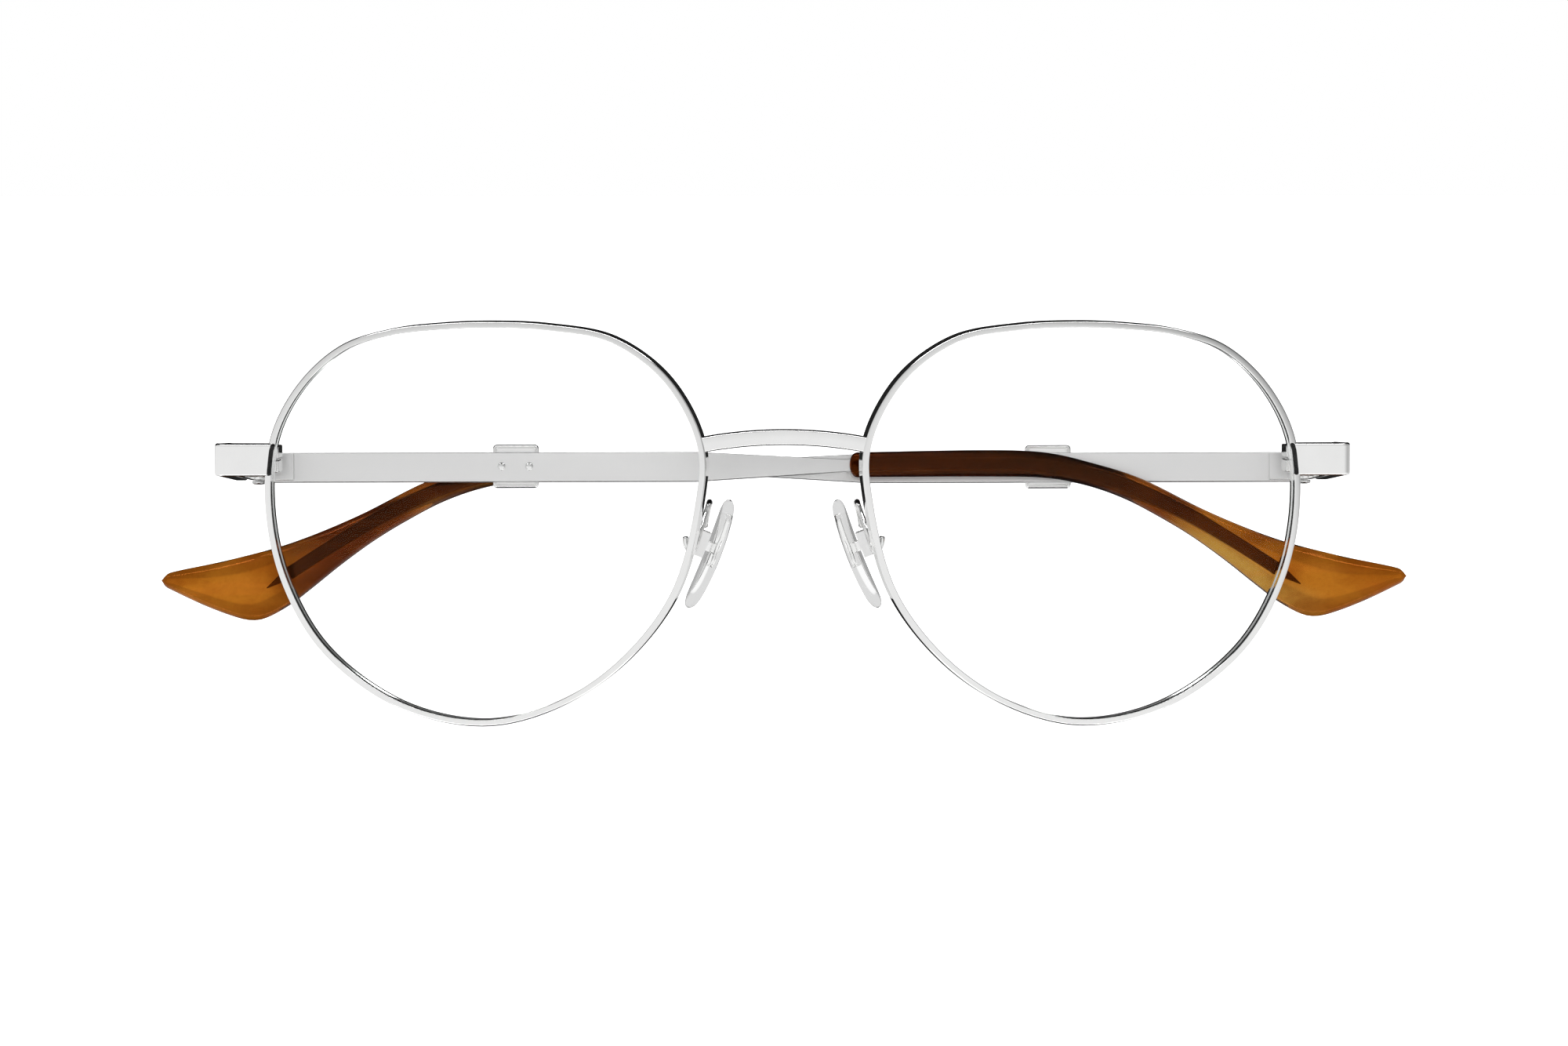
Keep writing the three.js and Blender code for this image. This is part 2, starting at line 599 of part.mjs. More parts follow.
// Open towards the pad, with a blind front wall and a bore through the back wall for the screw.
function padBox() {
  const halfWidth = BOX_WIDTH / 2;
  const insideWidth = halfWidth - BOX_WALL;
  const insideLength = BOX_LENGTH / 2 - BOX_WALL;
  const outer = block([BOX_NEAR, -halfWidth, -BOX_LENGTH / 2], [BOX_FAR, halfWidth, BOX_LENGTH / 2]);
  const inner = block(
    [BOX_NEAR - 1, -insideWidth, -insideLength],
    [BOX_FAR - BOX_BACK_WALL, insideWidth, insideLength],
  );
  return atPivot(cut(outer, inner, peg(PAD_SCREW_BORE, 0, BOX_WIDTH)));
}

// The screw's head is at the back.
function padScrew() {
  const shankLength = BOX_WIDTH - BOX_WALL;
  const pin = screw(PAD_SCREW_RADIUS, PAD_SCREW_HEAD, PAD_SCREW_HEAD_HEIGHT, shankLength);
  return atPivot(pin.rotateX(Math.PI / 2).translate(0, BOX_WIDTH / 2 + JOINT_GAP, 0));
}

function padArm() {
  const route = new THREE.CatmullRomCurve3(ARM_ROUTE.map((point) => new THREE.Vector3(...point)));
  const section = new THREE.Shape();
  section.absarc(0, 0, ARM_RADIUS, 0, 2 * Math.PI);
  return new THREE.ExtrudeGeometry(section, { extrudePath: route, steps: 20, curveSegments: 4 });
}

// ---- Assembly ----

const glasses = new THREE.Group();

function add(group, name, geometry, finish) {
  const mesh = new THREE.Mesh(geometry, new THREE.MeshStandardMaterial(finish));
  mesh.name = name;
  group.add(mesh);
}

function frontPiece(group, side, part, geometry, finish) {
  add(group, `${SIDE_NAME[side]}_${part}`, side === LEFT ? geometry : mirrored(geometry), finish);
}

function templePiece(group, side, part, geometry, finish) {
  add(group, `${SIDE_NAME[side]}_${part}`, side === RIGHT ? geometry : mirrored(geometry), finish);
}

function addEye(side) {
  const group = rimGroup(side);
  frontPiece(group, side, 'rim', rim(), POLISHED);
  frontPiece(group, side, 'lens', lens(), CLEAR_LENS);
  const upper = SPLIT_Z + SPLIT_WIDTH / 2;
  const lower = SPLIT_Z - SPLIT_WIDTH / 2 - LOCK_BLOCK_HEIGHT;
  frontPiece(group, side, 'rim_lock_upper', lockBlock(upper), POLISHED);
  frontPiece(group, side, 'rim_lock_lower', lockBlock(lower), POLISHED);
  frontPiece(group, side, 'rim_lock_screw', lockScrew(), SCREW_STEEL);
  glasses.add(group);
  frontPiece(glasses, side, 'end_piece', endPiece(), POLISHED);
}

function addHinge(side) {
  const group = new THREE.Group();
  group.position.set(side * HINGE_X, HINGE_Y, HINGE_Z);
  group.rotation.x = -TEMPLE_TILT;
  frontPiece(group, side, 'front_hinge_leaf', frontLeaf(), POLISHED);
  frontPiece(group, side, 'hinge_screw', hingeScrew(), SCREW_STEEL);
  glasses.add(group);
}

function addTemple(side) {
  const group = new THREE.Group();
  group.position.set(side * HINGE_X, HINGE_Y, HINGE_Z);
  group.rotation.set(-TEMPLE_TILT, 0, side === RIGHT ? -FOLD_RIGHT : -FOLD_LEFT);
  templePiece(group, side, 'temple_hinge_leaf', templeLeaf(), POLISHED);
  templePiece(group, side, 'temple_bar', templeBar(), POLISHED);
  templePiece(group, side, 'temple_plaque', plaque(), POLISHED);
  templePiece(group, side, 'front_rivet', rivet(rivetPlaces[0]), POLISHED);
  templePiece(group, side, 'rear_rivet', rivet(rivetPlaces[1]), POLISHED);
  templePiece(group, side, 'temple_tip', templeTip(), AMBER_ACETATE);
  glasses.add(group);
}

function addNosePad(side) {
  const group = new THREE.Group();
  group.position.set(side * PAD_CENTRE.x, PAD_CENTRE.y, PAD_CENTRE.z);
  group.rotation.set(0, -side * PAD_LEAN, -side * PAD_SPLAY);
  frontPiece(group, side, 'nose_pad', padBody(), CLEAR_SILICONE);
  frontPiece(group, side, 'pad_insert', padInsert(), POLISHED);
  frontPiece(group, side, 'pad_box', padBox(), POLISHED);
  frontPiece(group, side, 'pad_screw', padScrew(), SCREW_STEEL);
  glasses.add(group);
  frontPiece(glasses, side, 'pad_arm', padArm(), POLISHED);
}

add(glasses, 'bridge', bridge(), POLISHED);
for (const side of [RIGHT, LEFT]) {
  addEye(side);
  addHinge(side);
  addTemple(side);
  addNosePad(side);
}

export default glasses;
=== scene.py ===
"""Round wire eyeglasses, folded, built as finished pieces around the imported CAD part.

Lengths are in millimetres until a mesh is made, and the frame is the CAD's: +X to the wearer's left, +Y back,
+Z up.
"""

import json
import math

import bmesh
import bpy
from mathutils import Matrix, Vector


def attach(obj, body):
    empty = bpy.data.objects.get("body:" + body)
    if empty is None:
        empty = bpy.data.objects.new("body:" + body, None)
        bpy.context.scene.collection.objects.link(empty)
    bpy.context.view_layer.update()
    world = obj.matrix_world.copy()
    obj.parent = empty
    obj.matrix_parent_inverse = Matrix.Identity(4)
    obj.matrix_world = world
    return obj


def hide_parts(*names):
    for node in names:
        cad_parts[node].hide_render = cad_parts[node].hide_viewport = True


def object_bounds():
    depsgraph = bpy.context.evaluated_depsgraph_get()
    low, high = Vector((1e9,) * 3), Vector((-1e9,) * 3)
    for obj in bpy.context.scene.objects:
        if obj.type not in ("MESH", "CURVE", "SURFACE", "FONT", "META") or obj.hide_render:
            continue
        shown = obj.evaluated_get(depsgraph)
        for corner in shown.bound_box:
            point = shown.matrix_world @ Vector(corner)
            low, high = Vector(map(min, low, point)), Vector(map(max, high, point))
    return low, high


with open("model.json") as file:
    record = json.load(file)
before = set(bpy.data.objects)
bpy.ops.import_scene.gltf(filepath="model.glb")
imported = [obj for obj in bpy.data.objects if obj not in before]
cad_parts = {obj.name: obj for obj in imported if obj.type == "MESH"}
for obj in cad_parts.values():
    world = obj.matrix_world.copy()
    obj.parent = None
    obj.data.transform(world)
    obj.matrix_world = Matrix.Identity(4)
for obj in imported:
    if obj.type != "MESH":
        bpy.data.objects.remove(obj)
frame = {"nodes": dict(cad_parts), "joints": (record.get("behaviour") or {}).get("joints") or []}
cad_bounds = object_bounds()

MM = 0.001
LEFT, RIGHT = 1, -1
SIDE_NAMES = {LEFT: "left", RIGHT: "right"}
JOINTS = {joint["name"]: joint for joint in frame["joints"]}

# ---- Dimensions, the CAD part's own, in millimetres and degrees ----

JOINT_GAP = 0.15

RIM_CENTRE = (35.9, 1.75, -10.5)
FACE_WRAP = 8
RIM_WIDTH, RIM_DEPTH = 0.8, 2.7
RIM_REACH = [
    (5, 26.7), (22, 27.9), (37, 28.0), (51, 27.4), (64, 25.85), (77, 24.6),
    (91, 24.25), (108, 25.2), (125, 27.4), (142, 28.45), (160, 28.2), (175, 26.4),
    (200, 24.8), (225, 23.8), (248, 23.8), (270, 24.3), (295, 24.5), (322, 25.1), (345, 25.7),
]
SPLIT_Z, SPLIT_GAP = 7.35, 0.1
GROOVE_FRONT, GROOVE_WIDTH, GROOVE_DEPTH = 0.85, 1.0, 0.4
LENS_RADIUS, CURVE_REACH = 131, 25.5
LENS_THICKNESS, LENS_RIB = 1.8, 0.7

BRIDGE_HEIGHT, BRIDGE_THICKNESS, BRIDGE_ARCH = 1.9, 1.3, 53

LUG_HEIGHT, LUG_THICKNESS, LUG_CENTRE_Z = 3.9, 1.5, -3.03
LUG_OUTER_X, LUG_FRONT_Y, LUG_BACK_Y = 68.45, 5.1, 14.8
LUG_CORNER, LUG_LEAN, LUG_LAP = 1.6, 12.5, 0.3

LOCK_FRONT_Y, LOCK_BACK_Y, LOCK_HEIGHT = 3.35, 6.1, 1.5
LOCK_SCREW_X = 27.5
SPLIT_WIDTH = 0.25

TEMPLE_TILT = 8
LEAF_HALF_HEIGHT = 1.65
BAR_START, BAR_INNER_Y, BAR_THICKNESS = 0.2, 1.2, 1.2
BAR_CENTRE_Z, BAR_HALF_HEIGHT = -0.055, 1.795
BAR_MIDDLE_Y = BAR_INNER_Y + BAR_THICKNESS / 2
TAPER_START = 53
CORE_HALF_HEIGHT = 0.75
CORE_LINE = [
    (71, 0.05), (79, 0.2), (87, 0.3), (94.5, 0.1), (101, -1.15),
    (106, -2.8), (112, -5.65), (118, -9.15), (123, -12.35),
]
CORE_POINT = (126.3, -14.5)
TIP_START, TIP_THICKNESS, TIP_BEND_START, TIP_END, TIP_BEND = 71.65, 2.7, 97, 139, 1.0
TIP_LOWER = [
    (72.55, -1.4), (87, -1.35), (95, -1.5), (100, -2.3), (104.8, -3.95), (109.3, -6.3), (113.3, -8.75),
    (117.2, -11.6), (120.6, -14.35), (123.4, -16.5), (126.3, -18.1), (128.3, -18.4), (130.6, -17.85),
    (134, -16.55), (137.5, -14.9), (138.6, -14.3), (139, -13.6),
]
TIP_UPPER = [
    (72.55, 1.65), (87, 1.9), (95, 1.65), (101, 0.35), (107.2, -1.65), (115.3, -5.7), (123.2, -8.9),
    (130.6, -10.95), (137.3, -12.4), (138.5, -12.9), (139, -13.6),
]
FOLD_LEAN = {RIGHT: 0.9, LEFT: 1.8}
PLAQUE_X, PLAQUE_Z, PLAQUE_LENGTH, PLAQUE_HEIGHT, PLAQUE_THICKNESS = 31.05, 0.15, 5.6, 5.3, 0.9
RIVET_SPACING, RIVET_RADIUS = 3.35, 0.5

PAD_CENTRE, PAD_LEAN, PAD_SPLAY = (8.94, 5.5, -14.36), 21.5, 4
PAD_LENGTH, PAD_WIDTH, PAD_THICKNESS = 14, 7.2, 1.5
PAD_BOW, PAD_BOW_RADIUS = 0.45, 54.5
PAD_PIVOT = (1.02, 0.0, 0.85)
INSERT_LENGTH, INSERT_WIDTH, INSERT_THICKNESS = 6.5, 3.2, 0.4
INSERT_Z, INSERT_OFFSET = 1.9, 0.2
BOX_WIDTH = 2.3
# Screws: shank radius, head radius, head height and shank length.
LOCK_SCREW = (0.45, 0.8, 0.45, 3.4)
HINGE_SCREW = (0.42, 0.8, 0.4, 3.45)
PAD_SCREW = (0.28, 0.55, 0.3, 1.9)
PAD_SCREW_GAP = 0.05
ARM_RADIUS = 0.38
ARM_ROUTE = [
    (11.75, 1.65, -12.0), (11.65, 1.65, -12.9), (11.3, 1.75, -13.6), (10.9, 2.2, -13.75), (10.6, 2.8, -13.3),
    (10.3, 3.35, -12.4), (9.95, 3.7, -11.4), (9.55, 4.3, -10.3), (9.2, 4.8, -9.3), (8.95, 5.05, -8.55),
    (8.85, 5.6, -8.17), (8.92, 6.15, -8.55), (9.1, 6.25, -9.25), (9.3, 6.0, -10.2), (9.4, 5.6, -11.2),
]


# ---- Curves ----

def hermite(a, b, slope_a, slope_b, w):
    return (
        a * (2 * w**3 - 3 * w**2 + 1) + b * (3 * w**2 - 2 * w**3)
        + slope_a * (w**3 - 2 * w**2 + w) + slope_b * (w**3 - w**2)
    )


def spline(points, steps=24, closed=False, centripetal=True):
    """A dense line through the points."""
    points = [Vector(p) for p in points]
    count = len(points)
    line = []
    for i in range(count if closed else count - 1):
        b, c = points[i], points[(i + 1) % count]
        a = points[i - 1] if closed or i else 2 * b - c if centripetal else b
        d = points[(i + 2) % count] if closed or i + 2 < count else 2 * c - b if centripetal else c
        if centripetal:
            ab, bc, cd = (math.sqrt((q - p).length) for p, q in ((a, b), (b, c), (c, d)))
            slope_b = ((b - a) / ab - (c - a) / (ab + bc) + (c - b) / bc) * bc
            slope_c = ((c - b) / bc - (d - b) / (bc + cd) + (d - c) / cd) * bc
        else:
            slope_b, slope_c = (c - a) / 2, (d - b) / 2
        line += [hermite(b, c, slope_b, slope_c, s / steps) for s in range(steps)]
    return line if closed else line + [points[-1]]


def resample(line, count, start=0.0, end=1.0):
    """count points evenly spaced along the line, from one share of its length to another."""
    reach = [0.0]
    for p, q in zip(line, line[1:]):
        reach.append(reach[-1] + (q - p).length)
    picked, k = [], 0
    for i in range(count):
        target = reach[-1] * (start + (end - start) * i / (count - 1))
        while k < len(line) - 2 and reach[k + 1] < target:
            k += 1
        span = reach[k + 1] - reach[k]
        picked.append(line[k].lerp(line[k + 1], (target - reach[k]) / span if span else 0))
    return picked


def tangents(line):
    last = len(line) - 1
    return [(line[min(i + 1, last)] - line[max(i - 1, 0)]).normalized() for i in range(last + 1)]


def rounded_rectangle(half_width, half_height, radius, segments=4):
    """Points round a rectangle with filleted corners, as (across, up)."""
    points = []
    for corner, (sx, sy) in enumerate(((1, 1), (-1, 1), (-1, -1), (1, -1))):
        cx, cy = sx * (half_width - radius), sy * (half_height - radius)
        for k in range(segments + 1):
            angle = math.radians(90 * (corner + k / segments))
            points.append((cx + radius * math.cos(angle), cy + radius * math.sin(angle)))
    return points


# ---- Placing ----

MIRROR = Matrix.Scale(-1, 4, (1, 0, 0))


def turned(degrees, axis):
    return Matrix.Rotation(math.radians(degrees), 4, axis)


def at(side, position):
    return Matrix.Translation((side * position[0], position[1], position[2]))


def front_side(side):
    """The pieces of the front are drawn for the wearer's left."""
    return MIRROR if side == RIGHT else Matrix.Identity(4)


def joint_point(name):
    return [value / MM for value in JOINTS[name]["pos_m"]]


def hinge_point():
    x, y, z = joint_point("left_temple_fold")
    return abs(x), y, z


def rim_place(side):
    return at(side, RIM_CENTRE) @ turned(side * FACE_WRAP, "Z") @ front_side(side)


def hinge_place(side):
    return at(side, hinge_point()) @ turned(-TEMPLE_TILT, "X") @ front_side(side)


def temple_place(side):
    """The temples are drawn for the wearer's right, folded towards +X."""
    leaning = turned(-TEMPLE_TILT, "X") @ turned(-FOLD_LEAN[side], "Z")
    return at(side, hinge_point()) @ leaning @ (MIRROR if side == LEFT else Matrix.Identity(4))


def pad_place(side):
    leaning = turned(-side * PAD_LEAN, "Y") @ turned(-side * PAD_SPLAY, "Z")
    return at(side, PAD_CENTRE) @ leaning @ front_side(side)


# ---- Meshes ----

def loft(rings):
    """A skin over rings of equally many points, with a flat cap at each end."""
    count = len(rings[0])
    vertices = [point for ring in rings for point in ring]
    faces = []
    for i in range(len(rings) - 1):
        a, b = i * count, (i + 1) * count
        faces += [(a + k, a + (k + 1) % count, b + (k + 1) % count, b + k) for k in range(count)]
    faces += [tuple(range(count)), tuple(range(len(vertices) - count, len(vertices)))]
    return vertices, faces


def lathe(profile, sides=32):
    """A body of revolution about Z. The profile's (radius, height) points start and end on the axis."""
    vertices = [(0, 0, profile[0][1]), (0, 0, profile[-1][1])]
    inner = profile[1:-1]
    for radius, height in inner:
        for k in range(sides):
            angle = 2 * math.pi * k / sides
            vertices.append((radius * math.cos(angle), radius * math.sin(angle), height))
    faces = []
    for k in range(sides):
        n = (k + 1) % sides
        faces.append((0, 2 + n, 2 + k))
        last = 2 + (len(inner) - 1) * sides
        faces.append((1, last + k, last + n))
        for i in range(len(inner) - 1):
            a, b = 2 + i * sides, 2 + (i + 1) * sides
            faces.append((a + k, a + n, b + n, b + k))
    return vertices, faces


def box_mesh(low, high):
    vertices = [(x, y, z) for x in (low[0], high[0]) for y in (low[1], high[1]) for z in (low[2], high[2])]
    return vertices, [(0, 1, 3, 2), (4, 6, 7, 5), (0, 4, 5, 1), (2, 3, 7, 6), (0, 2, 6, 4), (1, 5, 7, 3)]


def make_object(name, vertices, faces, place=Matrix.Identity(4)):
    mesh = bpy.data.meshes.new(name)
    mesh.from_pydata([(place @ Vector(v)) * MM for v in vertices], [], faces)
    bm = bmesh.new()
    bm.from_mesh(mesh)
    bmesh.ops.remove_doubles(bm, verts=bm.verts, dist=1e-7)
    bmesh.ops.recalc_face_normals(bm, faces=bm.faces)
    bm.to_mesh(mesh)
    bm.free()
    piece = bpy.data.objects.new(name, mesh)
    bpy.context.scene.collection.objects.link(piece)
    return piece


def copy_of(node):
    """The CAD node's own solid as a new mesh, with its flat faces whole again."""
    mesh = frame["nodes"][node].data.copy()
    bm = bmesh.new()
    bm.from_mesh(mesh)
    bmesh.ops.remove_doubles(bm, verts=bm.verts, dist=2e-6)
    bmesh.ops.dissolve_limit(bm, angle_limit=math.radians(1), verts=bm.verts, edges=bm.edges)
    bmesh.ops.recalc_face_normals(bm, faces=bm.faces)
    bm.to_mesh(mesh)
    bm.free()
    piece = bpy.data.objects.new(node + "_detail", mesh)
    bpy.context.scene.collection.objects.link(piece)
    return piece


def apply_modifiers(piece):
    bpy.context.view_layer.update()
    evaluated = piece.evaluated_get(bpy.context.evaluated_depsgraph_get())
    mesh = bpy.data.meshes.new_from_object(evaluated)
    piece.modifiers.clear()
    piece.data = mesh


def carve(piece, cutter):
    """Takes the cutter's solid away from the piece."""
    change = piece.modifiers.new("carve", "BOOLEAN")
    change.operation = "DIFFERENCE"
    change.solver = "EXACT"
    change.object = cutter
    apply_modifiers(piece)
    bpy.data.objects.remove(cutter)


def finish_piece(piece, node, body, material, bevel=0.0, sharp=35):
    """Rounds and smooths a piece, gives it its material and ties it to the frame."""
    piece.data.materials.clear()
    for one in material if isinstance(material, list) else [material]:
        piece.data.materials.append(one)
    if bevel:
        change = piece.modifiers.new("edges", "BEVEL")
        change.width = bevel * MM
        change.segments = 3
        change.limit_method = "ANGLE"
        change.angle_limit = math.radians(sharp)
        change.use_clamp_overlap = True
        apply_modifiers(piece)
    piece.data.shade_smooth()
    piece.data.set_sharp_from_angle(angle=math.radians(sharp))
    even = piece.modifiers.new("even_shading", "WEIGHTED_NORMAL")
    even.keep_sharp = True
    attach(piece, body)
    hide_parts(node)
    return piece


# ---- Materials ----

class Nodes:
    """A short way to write a node tree."""

    def __init__(self, tree):
        self.tree = tree

    def add(self, kind, **settings):
        node = self.tree.nodes.new(kind)
        for key, value in settings.items():
            setattr(node, key, value)
        return node

    def link(self, source, target):
        self.tree.links.new(source, target)

    def feed(self, socket, value):
        if isinstance(value, bpy.types.NodeSocket):
            self.link(value, socket)
        else:
            socket.default_value = value

    def math(self, operation, a, b=0.0, clamp=False):
        node = self.add("ShaderNodeMath", operation=operation, use_clamp=clamp)
        self.feed(node.inputs[0], a)
        self.feed(node.inputs[1], b)
        return node.outputs[0]

    def ramp(self, value, stops):
        node = self.add("ShaderNodeValToRGB")
        ramp = node.color_ramp
        while len(ramp.elements) < len(stops):
            ramp.elements.new(0.5)
        for element, (position, colour) in zip(ramp.elements, stops):
            element.position = position
            element.color = (*colour, 1)
        self.link(value, node.inputs[0])
        return node.outputs[0]

    def spread(self, value, from_low, from_high, to_low, to_high, smooth=False):
        node = self.add("ShaderNodeMapRange", interpolation_type="SMOOTHSTEP" if smooth else "LINEAR")
        self.link(value, node.inputs["Value"])
        ends = (("From Min", from_low), ("From Max", from_high), ("To Min", to_low), ("To Max", to_high))
        for name, number in ends:
            node.inputs[name].default_value = number
        return node.outputs[0]

    def noise(self, scale, detail=3.0, stretch=None, roughness=0.5):
        place = self.add("ShaderNodeTexCoord").outputs["Object"]
        if stretch:
            mapping = self.add("ShaderNodeMapping")
            self.link(place, mapping.inputs["Vector"])
            mapping.inputs["Scale"].default_value = stretch
            place = mapping.outputs[0]
        node = self.add("ShaderNodeTexNoise")
        self.link(place, node.inputs["Vector"])
        node.inputs["Scale"].default_value = scale
        node.inputs["Detail"].default_value = detail
        node.inputs["Roughness"].default_value = roughness
        return node.outputs["Fac"]

    def mix(self, share, a, b, blend="MIX"):
        node = self.add("ShaderNodeMix", data_type="RGBA", blend_type=blend)
        self.feed(node.inputs[0], share)
        for socket, value in ((node.inputs[6], a), (node.inputs[7], b)):
            self.feed(socket, (*value, 1) if isinstance(value, tuple) else value)
        return node.outputs[2]

    def bump(self, height, strength, distance):
        node = self.add("ShaderNodeBump")
        self.link(height, node.inputs["Height"])
        node.inputs["Strength"].default_value = strength
        node.inputs["Distance"].default_value = distance
        return node.outputs[0]


def new_material(name, **values):
    """A material whose plain values sit on the shader itself. Returns it, its nodes and its shader."""
    material = bpy.data.materials.new(name)
    material.use_nodes = True
    shader = material.node_tree.nodes["Principled BSDF"]
    for key, value in values.items():
        shader.inputs[key.replace("_", " ")].default_value = value
    return material, Nodes(material.node_tree), shader


def metal(name, dark, light, polish, scratch):
    """Plated metal: faint cloudy tarnish, uneven polish and fine hairline scratches."""
    material, n, shader = new_material(name, Metallic=1.0)
    clouds = n.noise(260, 4)
    colour = n.ramp(clouds, [(0.3, dark), (0.7, light)])
    n.link(colour, shader.inputs["Base Color"])
    hair = n.noise(900, 2, stretch=(1, 1, 14))
    wear = n.math("ADD", n.math("MULTIPLY", clouds, 0.6), n.math("MULTIPLY", hair, 0.4))
    n.link(n.spread(wear, 0.3, 0.7, *polish), shader.inputs["Roughness"])
    n.link(n.bump(hair, scratch, 0.00002), shader.inputs["Normal"])
    return material


def lens_material():
    """Clear coated lens: each face lets nearly everything through and mirrors a little, more so at a slant,
    with a faint, uneven coating."""
    material, n, shader = new_material("clear_lens", Metallic=1.0)
    tint = n.ramp(n.noise(30, 2), [(0.3, (0.9, 0.93, 0.92)), (0.7, (0.96, 0.975, 0.97))])
    n.link(tint, shader.inputs["Base Color"])
    n.link(n.spread(n.noise(120, 3), 0.3, 0.7, 0.005, 0.03), shader.inputs["Roughness"])
    fresnel = n.add("ShaderNodeFresnel")
    fresnel.inputs["IOR"].default_value = 1.5
    n.link(n.spread(fresnel.outputs[0], 0.045, 1, 0.003, 0.5), shader.inputs["Alpha"])
    return material


def silicone_material():
    """Clear moulded silicone with slight ripples from the mould."""
    material, n, shader = new_material("clear_silicone", IOR=1.13, Transmission_Weight=1.0)
    tint = n.ramp(n.noise(120, 2), [(0.3, (0.965, 0.968, 0.965)), (0.7, (0.99, 0.99, 0.988))])
    n.link(tint, shader.inputs["Base Color"])
    n.link(n.spread(n.noise(300, 2), 0.3, 0.7, 0.0, 0.015), shader.inputs["Roughness"])
    n.link(n.bump(n.noise(60, 1), 0.02, 0.0001), shader.inputs["Normal"])
    return material


def acetate_material(name, stops, gold_from, gold_to):
    """Polished horn acetate: colour runs along the tip, with a paler lower edge in one stretch, grain and
    mottling."""
    material, n, shader = new_material(
        name, IOR=1.49, Transmission_Weight=0.97, Specular_IOR_Level=0.25,
        Specular_Tint=(1.0, 0.26, 0.05, 1.0),
    )
    along = n.add("ShaderNodeAttribute", attribute_name="along").outputs["Fac"]
    across = n.add("ShaderNodeAttribute", attribute_name="across").outputs["Fac"]
    drift = n.math("MULTIPLY", n.math("SUBTRACT", n.noise(110, 3), 0.5), 0.12)
    slant = n.math("MULTIPLY", across, 0.02)
    colour = n.ramp(n.math("ADD", n.math("ADD", along, drift), slant, clamp=True), stops)
    drifted = n.math("ADD", across, n.math("MULTIPLY", drift, 3.0))
    low_side = n.spread(drifted, 0.0, -0.6, 0, 0.85, smooth=True)
    rises = n.spread(along, gold_from - 0.07, gold_from + 0.05, 0, 1, smooth=True)
    fades = n.spread(along, gold_to - 0.05, gold_to + 0.07, 1, 0, smooth=True)
    gold = n.math("MULTIPLY", low_side, n.math("MULTIPLY", rises, fades))
    colour = n.mix(gold, colour, (0.66, 0.37, 0.07))
    grain = n.noise(420, 3, stretch=(0.12, 1, 1))
    colour = n.mix(n.spread(grain, 0.52, 0.68, 0, 0.45, smooth=True), colour, (0.6, 0.17, 0.02))
    speckle = n.noise(2600, 2)
    colour = n.mix(n.spread(speckle, 0.45, 0.75, 0, 0.25), colour, (0.5, 0.3, 0.15), "MULTIPLY")
    clouds = n.noise(170, 4, stretch=(0.6, 1, 1))
    colour = n.mix(n.spread(clouds, 0.45, 0.66, 0, 0.75, smooth=True), colour, (0.42, 0.2, 0.07), "MULTIPLY")
    n.link(colour, shader.inputs["Base Color"])
    n.link(n.spread(n.noise(300, 3), 0.3, 0.7, 0.02, 0.06), shader.inputs["Roughness"])
    n.link(n.bump(grain, 0.03, 0.00005), shader.inputs["Normal"])
    return material


RIGHT_HORN = [
    (0.0, (0.2, 0.03, 0.002)), (0.14, (0.15, 0.02, 0.001)), (0.3, (0.05, 0.006, 0.0006)),
    (0.44, (0.05, 0.007, 0.0006)), (0.54, (0.3, 0.08, 0.006)), (0.66, (0.46, 0.15, 0.012)),
    (0.8, (0.44, 0.15, 0.012)), (1.0, (0.46, 0.16, 0.013)),
]
LEFT_HORN = [
    (0.0, (0.2, 0.03, 0.002)), (0.2, (0.08, 0.012, 0.001)), (0.34, (0.22, 0.055, 0.005)),
    (0.5, (0.24, 0.06, 0.005)), (0.6, (0.07, 0.01, 0.0008)), (0.72, (0.1, 0.016, 0.001)),
    (0.83, (0.42, 0.14, 0.011)), (1.0, (0.46, 0.16, 0.013)),
]

satin = metal("satin_metal", (0.955, 0.955, 0.95), (0.97, 0.97, 0.965), (0.36, 0.42), 0.02)
# A near-black metal that paints in the dark reflection shown by the end piece's slanted face beside the lens.
painted_dark_reflection = metal("painted_dark_reflection", (0.02, 0.02, 0.02), (0.05, 0.05, 0.05), (0.2, 0.35), 0.1)
chrome = metal("polished_metal", (0.905, 0.905, 0.9), (0.94, 0.94, 0.935), (0.035, 0.075), 0.06)
# The core wire in the tips: real steel, with a near-black colour that paints in its dark reflection.
core_wire_painted_dark = metal("core_wire_painted_dark", (0.06, 0.025, 0.012), (0.1, 0.045, 0.02), (0.25, 0.4), 0.1)
steel = metal("screw_steel", (0.5, 0.5, 0.5), (0.66, 0.66, 0.655), (0.16, 0.32), 0.25)
clear_lens = lens_material()
clear_silicone = silicone_material()
amber = {
    RIGHT: acetate_material("amber_acetate_right", RIGHT_HORN, 0.6, 0.82),
    LEFT: acetate_material("amber_acetate_left", LEFT_HORN, 0.36, 0.5),
}


# ---- Rims and lenses ----

RIM_LINE = spline(
    [(r * math.cos(math.radians(a)), r * math.sin(math.radians(a)), 0) for a, r in RIM_REACH], closed=True,
)


def lens_curve(reach):
    return (reach**2 - CURVE_REACH**2) / (2 * LENS_RADIUS)


def rim_outline(count):
    """Points on the rim's outer edge, from one side of the split round to the other, and their outward
    directions."""
    k = next(
        i for i in range(len(RIM_LINE))
        if RIM_LINE[i].x > 0 and RIM_LINE[i].y <= SPLIT_Z < RIM_LINE[i + 1].y
    )
    split = RIM_LINE[k].lerp(RIM_LINE[k + 1], (SPLIT_Z - RIM_LINE[k].y) / (RIM_LINE[k + 1].y - RIM_LINE[k].y))
    line = [split] + RIM_LINE[k + 1:] + RIM_LINE[:k + 1] + [split]
    length = sum((q - p).length for p, q in zip(line, line[1:]))
    gap = SPLIT_GAP / 2 / length
    points = resample(line, count, gap, 1 - gap)
    outward = [Vector((t.y, -t.x, 0)) for t in tangents(points)]
    return points, outward


